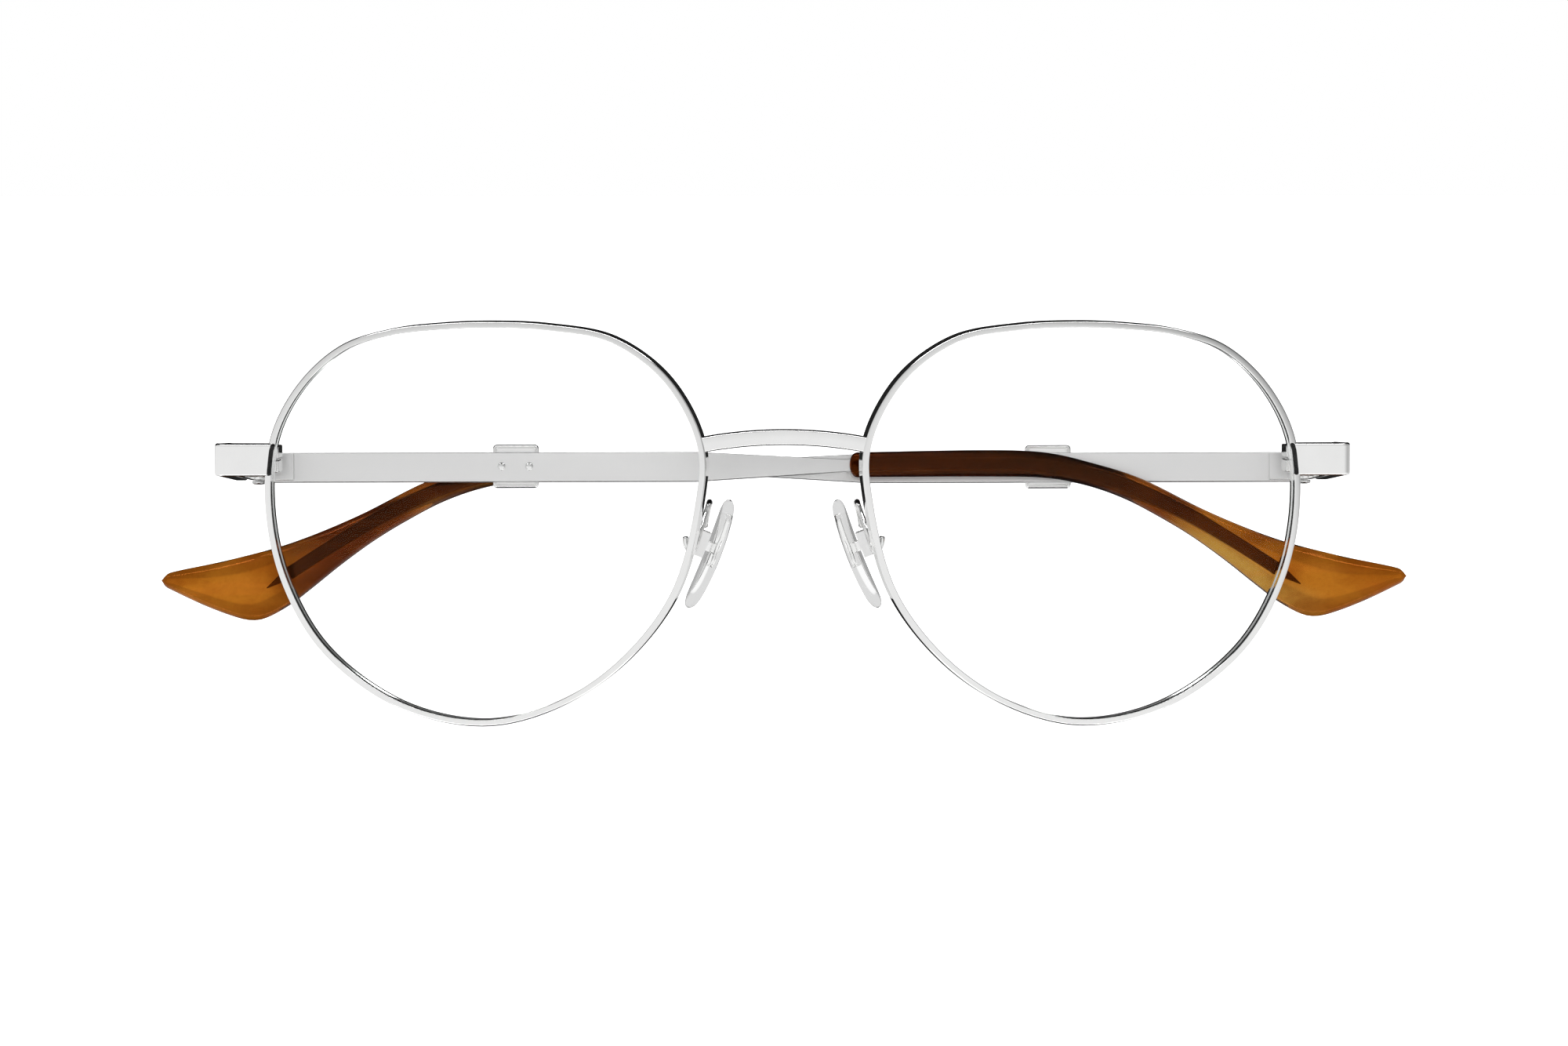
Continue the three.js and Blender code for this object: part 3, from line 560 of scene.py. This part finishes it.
def rim_profile():
    """The wire's section as (inset from the outer edge, depth from the front face)."""
    corners = [
        (0, 0, 0.26), (RIM_WIDTH, 0, 0.13),
        (RIM_WIDTH, GROOVE_FRONT, 0), (RIM_WIDTH - GROOVE_DEPTH, GROOVE_FRONT + 0.35, 0.05),
        (RIM_WIDTH - GROOVE_DEPTH, GROOVE_FRONT + GROOVE_WIDTH - 0.35, 0.05),
        (RIM_WIDTH, GROOVE_FRONT + GROOVE_WIDTH, 0),
        (RIM_WIDTH, RIM_DEPTH, 0.14), (0, RIM_DEPTH, 0.2),
    ]
    points = []
    for i, (x, y, radius) in enumerate(corners):
        here = Vector((x, y))
        before, after = Vector(corners[i - 1][:2]), Vector(corners[(i + 1) % len(corners)][:2])
        if not radius:
            points.append(here)
            continue
        a = here + (before - here).normalized() * radius
        b = here + (after - here).normalized() * radius
        for k in range(6):
            w = k / 5
            points.append(a * (1 - w) ** 2 + here * 2 * w * (1 - w) + b * w**2)
    return points


def rim(side):
    points, outward = rim_outline(361)
    profile = rim_profile()
    rings = []
    for p, out in zip(points, outward):
        ring = []
        for inset, depth in profile:
            q = p - out * inset
            ring.append((q.x, depth + lens_curve(q.length), q.y))
        rings.append(ring)
    name = SIDE_NAMES[side] + "_rim"
    piece = make_object(name + "_detail", *loft(rings), rim_place(side))
    finish_piece(piece, name, "front", chrome, sharp=28)


def lens(side):
    points, outward = rim_outline(181)
    opening = [p - out * (RIM_WIDTH + 0.02) for p, out in zip(points, outward)][:-1]
    seat = [p - out * (RIM_WIDTH - GROOVE_DEPTH + 0.06) for p, out in zip(points, outward)][:-1]
    middle = GROOVE_FRONT + GROOVE_WIDTH / 2
    shares = [0.03, 0.15, 0.3, 0.45, 0.6, 0.74, 0.86, 0.95, 1]
    levels = [(opening, s, middle - LENS_THICKNESS / 2) for s in shares]
    levels += [(opening, 1, middle - LENS_RIB / 2), (seat, 1, middle - 0.12)]
    levels += [(seat, 1, middle + 0.12), (opening, 1, middle + LENS_RIB / 2)]
    levels += [(opening, s, middle + LENS_THICKNESS / 2) for s in reversed(shares)]
    rings = [
        [(q.x * s, depth + lens_curve((q * s).length), q.y * s) for q in line]
        for line, s, depth in levels
    ]
    name = SIDE_NAMES[side] + "_lens"
    piece = make_object(name + "_detail", *loft(rings), rim_place(side))
    finish_piece(piece, name, "front", clear_lens, sharp=30)


# ---- Bridge ----

def rim_reach_towards(point):
    """The rim's outer reach in the direction of a point, in the rim's own plane."""
    angle = math.atan2(point[1], point[0])

    def turn_to(q):
        return abs((math.atan2(q.y, q.x) - angle + math.pi) % (2 * math.pi) - math.pi)

    return min(RIM_LINE, key=turn_to).length


def arch_end(radius):
    """How far round the arch, in radians, a fibre of the bridge runs until it is well inside the rim."""
    low, high = 0.05, 0.3
    place = rim_place(LEFT).inverted()
    for _ in range(24):
        middle = (low + high) / 2
        local = place @ Vector((radius * math.sin(middle), -0.6, radius * math.cos(middle) - BRIDGE_ARCH))
        inside = math.hypot(local.x, local.z) < rim_reach_towards((local.x, local.z)) - 0.4
        low, high = (low, middle) if inside else (middle, high)
    return high


def bridge():
    section = rounded_rectangle(BRIDGE_HEIGHT / 2, BRIDGE_THICKNESS / 2, 0.28, 5)
    ends = [arch_end(BRIDGE_ARCH + up) for up, _ in section]
    rings = []
    steps = 64
    for i in range(steps + 1):
        share = 2 * i / steps - 1
        rings.append([
            (
                (BRIDGE_ARCH + up) * math.sin(share * end),
                deep - BRIDGE_THICKNESS / 2,
                (BRIDGE_ARCH + up) * math.cos(share * end) - BRIDGE_ARCH,
            )
            for (up, deep), end in zip(section, ends)
        ])
    piece = make_object("bridge_detail", *loft(rings))
    finish_piece(piece, "bridge", "front", chrome, sharp=35)


# ---- End pieces ----

def lens_side_x(z):
    """Where the end piece's inner end lies at a height, following the rim."""
    best = None
    for p in RIM_LINE:
        if p.x > 0:
            gap = abs(p.y + RIM_CENTRE[2] - z)
            if best is None or gap < best[0]:
                best = (gap, p)
    reach = best[1].x - (RIM_WIDTH - LUG_LAP)
    return RIM_CENTRE[0] + reach * math.cos(math.radians(FACE_WRAP)) - 0.45


def end_piece_plan(z):
    lean = math.tan(math.radians(LUG_LEAN))
    wall = LUG_THICKNESS / math.cos(math.radians(LUG_LEAN))
    inner_x = lens_side_x(z)
    face_y = LUG_FRONT_Y
    corner = [Vector((LUG_OUTER_X - LUG_CORNER, face_y)), Vector((LUG_OUTER_X, face_y)),
              Vector((LUG_OUTER_X - LUG_CORNER * lean, face_y + LUG_CORNER))]
    back_x = LUG_OUTER_X - (LUG_BACK_Y - face_y) * lean
    inner = LUG_OUTER_X - LUG_THICKNESS * lean - wall
    bend = [
        Vector((inner - 0.9 * lean, face_y + LUG_THICKNESS + 0.9)),
        Vector((inner, face_y + LUG_THICKNESS)),
        Vector((inner - 0.9, face_y + LUG_THICKNESS)),
    ]
    plan = [Vector((inner_x, face_y + 0.58)), Vector((inner_x + 0.5, face_y))]
    plan += [corner[0] * (1 - w) ** 2 + corner[1] * 2 * w * (1 - w) + corner[2] * w**2
             for w in (k / 12 for k in range(13))]
    plan += [Vector((back_x, LUG_BACK_Y)), Vector((back_x - wall, LUG_BACK_Y))]
    plan += [bend[0] * (1 - w) ** 2 + bend[1] * 2 * w * (1 - w) + bend[2] * w**2
             for w in (k / 8 for k in range(9))]
    plan += [Vector((inner_x + 0.25, face_y + LUG_THICKNESS))]
    return plan


def end_piece(side):
    rings = []
    slope = math.tan(math.radians(TEMPLE_TILT))
    levels = 10
    for i in range(levels + 1):
        z = LUG_CENTRE_Z + LUG_HEIGHT * (i / levels - 0.5)
        rings.append([
            (p.x, p.y, z - max(0, p.y - LUG_FRONT_Y - LUG_CORNER) * slope) for p in end_piece_plan(z)
        ])
    name = SIDE_NAMES[side] + "_end_piece"
    piece = make_object(name + "_detail", *loft(rings), front_side(side))
    finish_piece(piece, name, "front", [chrome, painted_dark_reflection], bevel=0.24, sharp=40)
    # The slanted faces at the front of the end piece, beside the lens, take the second material: a painted
    # dark reflection.
    inner_end = 62.5
    for face in piece.data.polygons:
        in_front = face.center.y < (LUG_FRONT_Y + 0.7) * MM
        at_lens = abs(face.center.x) < inner_end * MM
        if in_front and at_lens and 0.4 < -side * face.normal.x < 0.95:
            face.material_index = 1


# ---- Screws ----

SLOT_WIDTH = 0.18
SLOT_TURN = 35  # degrees from the line across the screw


def screw(side, part, body, place, shank, head, head_height, length):
    """A slotted screw standing on Z with its head below."""
    profile = [
        (0, -head_height), (head * 0.55, -head_height), (head * 0.82, -head_height * 0.93),
        (head * 0.96, -head_height * 0.7), (head, -head_height * 0.4), (head, -0.03), (head - 0.04, 0),
        (shank, 0), (shank, length - 0.08), (shank - 0.08, length), (0, length),
    ]
    name = f"{SIDE_NAMES[side]}_{part}"
    piece = make_object(name + "_detail", *lathe(profile), place)
    slot = box_mesh(
        (-head - 1, -SLOT_WIDTH / 2, -head_height - 1), (head + 1, SLOT_WIDTH / 2, -head_height * 0.5),
    )
    carve(piece, make_object("slot_cutter", *slot, place @ turned(SLOT_TURN, "Z")))
    finish_piece(piece, name, body, steel, sharp=40)


# ---- Rim locks, hinge leaves and pad boxes, from the CAD's own solids ----

def detailed_copy(node, body, bevel, material=None):
    finish_piece(copy_of(node), node, body, material or chrome, bevel=bevel, sharp=40)


# ---- Temples ----

def bend_inward(x, y):
    along = max(0, x - TIP_BEND_START) / (TIP_END - TIP_BEND_START)
    return y - TIP_BEND * along**2


def bar_sections():
    """Places along the bar as (centre, up direction, half height)."""
    flat = [(BAR_START + (TAPER_START - BAR_START) * i / 20, BAR_HALF_HEIGHT) for i in range(21)]
    sections = [(Vector((x, BAR_CENTRE_Z)), Vector((0, 1)), half) for x, half in flat]
    taper_end = Vector(CORE_LINE[0])
    for i in range(1, 9):
        share = i / 9
        centre = Vector((TAPER_START, BAR_CENTRE_Z)).lerp(taper_end, share)
        tapered = BAR_HALF_HEIGHT + (CORE_HALF_HEIGHT - BAR_HALF_HEIGHT) * share
        sections.append((centre, Vector((0, 1)), tapered))
    core = resample(spline(CORE_LINE, centripetal=False), 60)
    for p, t in zip(core, tangents(core)):
        sections.append((p, Vector((-t.y, t.x)), CORE_HALF_HEIGHT))
    last, point = core[-1], Vector(CORE_POINT)
    up = sections[-1][1]
    sections.append((last.lerp(point, 0.12), up, CORE_HALF_HEIGHT * 1.06))
    sections.append((last.lerp(point, 0.55), up, CORE_HALF_HEIGHT * 0.55))
    sections.append((point, up, 0.05))
    return sections


def temple_bar(side):
    rings = []
    half_thickness = BAR_THICKNESS / 2
    for centre, up, half in bar_sections():
        slim = half_thickness if half > 0.4 else half_thickness * 0.3
        section = rounded_rectangle(half, slim, min(0.14, half * 0.6, slim * 0.6), 3)
        ring = []
        for across, deep in section:
            p = centre + up * across
            ring.append((p.x, bend_inward(p.x, BAR_MIDDLE_Y + deep), p.y))
        rings.append(ring)
    name = SIDE_NAMES[side] + "_temple_bar"
    piece = make_object(name + "_detail", *loft(rings), temple_place(side))
    finish_piece(piece, name, f"{SIDE_NAMES[side]}_temple", [satin, core_wire_painted_dark], sharp=28)
    # Past the tip's start the bar is the core wire, whose material carries a painted dark reflection.
    inverse = temple_place(side).inverted()
    for face in piece.data.polygons:
        face.material_index = int((inverse @ (face.center / MM)).x > TIP_START + 0.6)


def tip_edges():
    """The tip's lower and upper edges, paired place by place from its start to its end."""
    nose = Vector((TIP_START, 0.1))
    pairs = []
    for points, knots in ((TIP_LOWER, (72.55, 95, 113.3, 126.3, 137.5, 139)),
                          (TIP_UPPER, (72.55, 95, 115.3, 127.6, 137.3, 139))):
        first = Vector(points[0])
        corner = Vector((TIP_START, first.y * 0.92))
        edge = [
            nose * (1 - w) ** 2 + corner * 2 * w * (1 - w) + first * w**2
            for w in (k / 8 for k in range(9))
        ]
        line = spline(points, centripetal=False)
        cuts = [min(range(len(line)), key=lambda i: abs(line[i].x - x)) for x in knots]
        cuts[-1] = len(line) - 1
        for count, (a, b) in zip((26, 26, 22, 16, 8), zip(cuts, cuts[1:])):
            edge += resample(line[a:b + 1], count + 1)[1:]
        pairs.append(edge)
    return list(zip(*pairs))


def pillow(half_height, half_depth, roundness, count=40):
    """A softly rounded section between a rectangle (roundness 0) and an ellipse (1)."""
    points = []
    for k in range(count):
        angle = 2 * math.pi * k / count
        c, s = math.cos(angle), math.sin(angle)
        height = half_height * math.copysign(abs(c) ** roundness, c)
        points.append((height, half_depth * math.copysign(abs(s) ** roundness, s)))
    return points


def temple_tip(side):
    rings, along, across = [], [], []
    edges = tip_edges()
    middles = [(a + b) / 2 for a, b in edges]
    reach = [0.0]
    for p, q in zip(middles, middles[1:]):
        reach.append(reach[-1] + (q - p).length)
    for (low, high), travelled in zip(edges, reach):
        centre, up = (low + high) / 2, (high - low) / 2
        half = max(up.length, 0.12)
        up = up.normalized() if up.length > 1e-6 else Vector((0, 1))
        near_end = min(travelled + 0.15, reach[-1] - travelled + 0.15) / 0.9
        round_off = math.sqrt(max(0, 1 - (1 - min(1, near_end)) ** 2))
        deep_half = TIP_THICKNESS / 2 * (0.45 + 0.55 * round_off)
        ring = []
        for height, deep in pillow(half, deep_half, min(0.72, 0.4 + travelled * 0.008)):
            p = centre + up * height
            ring.append((p.x, bend_inward(p.x, BAR_MIDDLE_Y + deep), p.y))
            along.append(travelled / reach[-1])
            across.append(height / half)
        rings.append(ring)
    name = SIDE_NAMES[side] + "_temple_tip"
    vertices, faces = loft(rings)
    mesh = bpy.data.meshes.new(name + "_detail")
    place = temple_place(side)
    mesh.from_pydata([(place @ Vector(v)) * MM for v in vertices], [], faces)
    for label, values in (("along", along), ("across", across)):
        mesh.attributes.new(label, "FLOAT", "POINT").data.foreach_set("value", values)
    bm = bmesh.new()
    bm.from_mesh(mesh)
    bmesh.ops.recalc_face_normals(bm, faces=bm.faces)
    bm.to_mesh(mesh)
    bm.free()
    piece = bpy.data.objects.new(name + "_detail", mesh)
    bpy.context.scene.collection.objects.link(piece)
    finish_piece(piece, name, f"{SIDE_NAMES[side]}_temple", amber[side], sharp=60)


def plaque(side):
    """A bevelled plate with a rounded border and a shallow sunk panel."""
    near = BAR_INNER_Y + BAR_THICKNESS + 0.02
    far = BAR_INNER_Y + BAR_THICKNESS + 0.15 + PLAQUE_THICKNESS
    levels = [
        (0.95, near + 0.04), (0.72, near + 0.04), (0.56, near + 0.02), (0.46, near + 0.02),
        (0.44, near + 0.05), (0.34, near + 0.22), (0.31, near + 0.22), (0.24, near + 0.06),
        (0.21, near + 0.01), (0.16, near), (0.11, near + 0.02), (0.03, near + 0.14),
        (0, near + 0.26), (0, near + 0.5), (0.03, near + 0.6),
        (0.1, far - 0.16), (0.2, far - 0.05), (0.32, far), (0.62, far), (0.68, far - 0.03), (0.74, far - 0.1),
    ]
    rings = []
    for inset, y in levels:
        half_length, half_height = PLAQUE_LENGTH / 2 - inset, PLAQUE_HEIGHT / 2 - inset
        section = rounded_rectangle(half_length, half_height, max(0.12, 0.5 - inset * 0.5), 5)
        rings.append([(PLAQUE_X + x, y, PLAQUE_Z + z) for x, z in section])
    name = SIDE_NAMES[side] + "_temple_plaque"
    piece = make_object(name + "_detail", *loft(rings), temple_place(side))
    finish_piece(piece, name, f"{SIDE_NAMES[side]}_temple", [chrome, satin], sharp=50)
    for face in piece.data.polygons:
        face.material_index = int(face.normal.y > 0.9)


def rivet(side, part, x):
    height = 0.3
    face = BAR_INNER_Y
    profile = [(0, -height)]
    profile += [
        (RIVET_RADIUS * math.sin(a), -height * (0.15 + 0.85 * math.cos(a)))
        for a in (math.radians(90 * k / 8) for k in range(1, 9))
    ]
    profile += [(RIVET_RADIUS, 0.0), (0.28, 0.02), (0.28, BAR_THICKNESS + 0.4), (0, BAR_THICKNESS + 0.4)]
    name = f"{SIDE_NAMES[side]}_{part}"
    place = temple_place(side) @ Matrix.Translation((x, face, 0)) @ turned(-90, "X")
    piece = make_object(name + "_detail", *lathe(profile), place)
    finish_piece(piece, name, f"{SIDE_NAMES[side]}_temple", chrome, sharp=50)


# ---- Nose pads ----

def bow(z):
    """How far the pad's middle surface lies towards the nose at a place along it."""
    return math.sqrt(PAD_BOW_RADIUS**2 - z**2) - (PAD_BOW_RADIUS - PAD_BOW)


def nose_pad(side):
    """A moulded oval plate, bowed along its length, with a round rim."""
    shares = [0.06, 0.3, 0.52, 0.68, 0.78, 0.86, 0.91, 0.945, 0.97, 0.985, 0.995, 1.0]
    count = 96
    half = PAD_THICKNESS / 2

    def ring(share, direction):
        thick = half * math.sqrt(max(0.0, 1 - max(0.0, (share - 0.82) / 0.18) ** 2))
        points = []
        for k in range(count):
            angle = 2 * math.pi * k / count
            across, along = math.cos(angle) * PAD_WIDTH / 2 * share, math.sin(angle) * PAD_LENGTH / 2 * share
            points.append((direction * thick - bow(along), across, along))
        return points

    rings = [ring(s, -1) for s in shares] + [ring(s, 1) for s in reversed(shares[:-1])]
    name = SIDE_NAMES[side] + "_nose_pad"
    piece = make_object(name + "_detail", *loft(rings), pad_place(side))
    finish_piece(piece, name, f"{SIDE_NAMES[side]}_pad", clear_silicone, sharp=60)


def pad_insert(side):
    """A thin bowed plate moulded into the pad, waisted at its boss, and the boss that takes the screw."""
    rings = []
    for i in range(25):
        share = 2 * i / 24 - 1
        z = INSERT_Z + share * INSERT_LENGTH / 2
        round_off = math.sqrt(max(0.0, 1 - max(0.0, (abs(share) - 0.75) / 0.25) ** 2))
        waist = 1 - 0.3 * math.exp(-((z - PAD_PIVOT[2]) / 0.9) ** 2)
        width = max(0.3, INSERT_WIDTH / 2 * waist * (0.25 + 0.75 * round_off))
        section = rounded_rectangle(INSERT_THICKNESS / 2, width, 0.12, 3)
        rings.append([(x - bow(z) - INSERT_OFFSET, y, z) for x, y in section])
    vertices, faces = loft(rings)
    boss = [
        [(x, y, PAD_PIVOT[2] + z) for y, z in rounded_rectangle(0.55, 0.65, 0.2, 3)]
        for x in (-PAD_BOW - INSERT_OFFSET, 0.3, 1.2, PAD_PIVOT[0] + 0.38)
    ]
    boss_vertices, boss_faces = loft(boss)
    faces += [tuple(len(vertices) + k for k in face) for face in boss_faces]
    name = SIDE_NAMES[side] + "_pad_insert"
    piece = make_object(name + "_detail", vertices + boss_vertices, faces, pad_place(side))
    finish_piece(piece, name, f"{SIDE_NAMES[side]}_pad", chrome, sharp=40)


def pad_arm(side):
    """Round wire, rounded off at both ends, with a slightly flattened solder blob at its foot."""
    line = resample(spline(ARM_ROUTE), 120)
    directions = tangents(line)
    reference = Vector((1, 0, 0))
    rings = []
    for i, (p, t) in enumerate(zip(line, directions)):
        u = (reference - t * reference.dot(t)).normalized()
        v = t.cross(u)
        reference = u
        share = i / (len(line) - 1)
        end_round = math.sqrt(max(0.0, 1 - (1 - min(1, min(share, 1 - share) / 0.02 + 0.2)) ** 2))
        radius = ARM_RADIUS * end_round
        rings.append([
            p + u * radius * math.cos(a) + v * radius * math.sin(a)
            for a in (2 * math.pi * k / 20 for k in range(20))
        ])
    vertices, faces = loft(rings)
    solder, solder_faces = lathe(
        [(0, -0.6)] + [(0.62 * math.cos(a), 0.6 * math.sin(a)) for a in
                       (math.radians(-80 + 20 * k) for k in range(9))] + [(0, 0.6)], 24,
    )
    faces += [tuple(len(vertices) + k for k in face) for face in solder_faces]
    vertices += [(x * 0.8 + 11.2, z * 0.75 + 1.3, y * 0.8 - 13.55) for x, y, z in solder]
    name = SIDE_NAMES[side] + "_pad_arm"
    piece = make_object(name + "_detail", vertices, faces, front_side(side))
    finish_piece(piece, name, "front", chrome, sharp=50)


# ---- Assembly ----

def build_side(side):
    name = SIDE_NAMES[side]
    temple, pad = name + "_temple", name + "_pad"
    rim(side)
    lens(side)
    end_piece(side)
    for part in ("rim_lock_upper", "rim_lock_lower"):
        detailed_copy(f"{name}_{part}", "front", 0.16)
    lock_y = (LOCK_FRONT_Y + LOCK_BACK_Y) / 2
    lock_z = SPLIT_Z - SPLIT_WIDTH / 2 - LOCK_HEIGHT - JOINT_GAP
    lock = rim_place(side) @ Matrix.Translation((LOCK_SCREW_X, lock_y, lock_z))
    screw(side, "rim_lock_screw", "front", lock, *LOCK_SCREW)
    detailed_copy(name + "_front_hinge_leaf", "front", 0.1)
    detailed_copy(name + "_temple_hinge_leaf", temple, 0.1, material=satin)
    hinge = hinge_place(side) @ Matrix.Translation((0, 0, -LEAF_HALF_HEIGHT - JOINT_GAP))
    screw(side, "hinge_screw", "front", hinge, *HINGE_SCREW)
    temple_bar(side)
    temple_tip(side)
    plaque(side)
    rivet(side, "front_rivet", PLAQUE_X - RIVET_SPACING / 2)
    rivet(side, "rear_rivet", PLAQUE_X + RIVET_SPACING / 2)
    nose_pad(side)
    pad_insert(side)
    detailed_copy(name + "_pad_box", pad, 0.09, material=satin)
    behind_box = Matrix.Translation((PAD_PIVOT[0], BOX_WIDTH / 2 + PAD_SCREW_GAP, PAD_PIVOT[2]))
    screw(side, "pad_screw", pad, pad_place(side) @ behind_box @ turned(90, "X"), *PAD_SCREW)
    pad_arm(side)


bridge()
for one_side in (RIGHT, LEFT):
    build_side(one_side)


# ---- Studio ----

CAMERA_LIFT, CAMERA_TURN = 4, -0.9  # degrees above the front, and round towards the wearer's right
CAMERA_DISTANCE, TARGET_Z = 0.8, -0.0103  # metres
FOCAL_LENGTH = 154
FLOOR_GAP, FLOOR_HALF_SIZE = 0.0003, 3.0  # metres
# Strip lights seen only by polished surfaces: height on the sky, half width and power.
STRIP_LIGHTS = ((0.8, 0.035, 7.0), (-0.8, 0.03, 3.5))


def studio_world():
    """A white room. What polished metal mirrors is a bright front and sides with dark cards above, below and
    round the background."""
    world = bpy.data.worlds.new("studio")
    bpy.context.scene.world = world
    world.use_nodes = True
    n = Nodes(world.node_tree)
    background = world.node_tree.nodes["Background"]
    direction = n.add("ShaderNodeTexCoord").outputs["Generated"]
    parts = n.add("ShaderNodeSeparateXYZ")
    n.link(direction, parts.inputs[0])
    x, y, z = parts.outputs
    lift = math.radians(CAMERA_LIFT)
    away = n.math("SUBTRACT", n.math("MULTIPLY", y, math.cos(lift)), n.math("MULTIPLY", z, math.sin(lift)))
    steep = n.math("ABSOLUTE", z)
    bright = n.spread(n.math("ADD", away, steep), 0.35, 0.6, 1, 0.02, smooth=True)
    side_fill = n.math(
        "MULTIPLY",
        n.spread(n.math("ABSOLUTE", x), 0.18, 0.36, 0, 1, smooth=True),
        n.spread(z, 0.12, -0.02, 0, 1, smooth=True),
    )
    side_fill = n.math("MULTIPLY", side_fill, n.spread(away, 0.8, 0.9, 1, 0, smooth=True))
    bright = n.math("MAXIMUM", bright, side_fill)
    height = n.math("MAXIMUM", n.math("ADD", z, 0.07), 0.0)
    bright = n.math("MULTIPLY", bright, n.math("SUBTRACT", 0.87, n.math("MULTIPLY", height, 0.5)))
    corner = n.math("ADD", n.math("MULTIPLY", x, 0.75), n.math("MULTIPLY", z, 0.65))
    bright = n.math("MULTIPLY", bright, n.spread(corner, 0.3, 0.8, 1, 0.5, smooth=True))
    in_front = n.spread(y, -0.2, -0.3, 0, 1, smooth=True)
    for level, half, power in STRIP_LIGHTS:
        band = n.spread(n.math("ABSOLUTE", n.math("SUBTRACT", z, level)), half * 0.6, half, 1, 0, smooth=True)
        bright = n.math("ADD", bright, n.math("MULTIPLY", n.math("MULTIPLY", band, in_front), power))
    mirrored = n.math("MAXIMUM", bright, n.spread(away, 0.9975, 0.9988, 0, 1, smooth=True))
    dimmed = n.spread(mirrored, 0, 1, 0.72, 1)
    bent = n.math("MAXIMUM", dimmed, n.spread(away, 0.985, 0.995, 0, 1, smooth=True))
    rays = n.add("ShaderNodeLightPath")
    sky = n.mix(rays.outputs["Is Glossy Ray"], (1.0, 1.0, 1.0), mirrored)
    sky = n.mix(rays.outputs["Is Transmission Ray"], sky, bent)
    n.link(sky, background.inputs["Color"])
    background.inputs["Strength"].default_value = 1.0


def floor():
    """A pale floor, just under the rims."""
    z = cad_bounds[0][2] - FLOOR_GAP
    size = FLOOR_HALF_SIZE
    mesh = bpy.data.meshes.new("floor")
    corners = [(-size, -size, z), (size, -size, z), (size, size, z), (-size, size, z)]
    mesh.from_pydata(corners, [], [(0, 1, 2, 3)])
    plane = bpy.data.objects.new("floor", mesh)
    bpy.context.scene.collection.objects.link(plane)
    material, n, shader = new_material("floor", Roughness=0.9)
    tint = n.ramp(n.noise(3, 2), [(0.3, (0.86, 0.86, 0.86)), (0.7, (0.88, 0.88, 0.88))])
    n.link(tint, shader.inputs["Base Color"])
    shader.inputs["Emission Color"].default_value = (1, 1, 1, 1)
    shader.inputs["Emission Strength"].default_value = 0.75
    mesh.materials.append(material)
    plane.visible_glossy = False
    plane.visible_transmission = False


def camera():
    """A long lens, a little above the glasses' middle and nearly square to the front."""
    data = bpy.data.cameras.new("camera")
    data.sensor_width = 36
    data.lens = FOCAL_LENGTH
    data.clip_start = 0.05
    data.clip_end = 20
    lift, turn = math.radians(CAMERA_LIFT), math.radians(CAMERA_TURN)
    target = Vector((0, 0, TARGET_Z))
    away = Vector((math.sin(turn) * math.cos(lift), -math.cos(turn) * math.cos(lift), math.sin(lift)))
    view = bpy.data.objects.new("camera", data)
    bpy.context.scene.collection.objects.link(view)
    view.location = target + away * CAMERA_DISTANCE
    view.rotation_euler = (math.pi / 2 - lift, 0, turn)
    bpy.context.scene.camera = view


studio_world()
floor()
camera()
bpy.context.scene.view_settings.view_transform = "Standard"
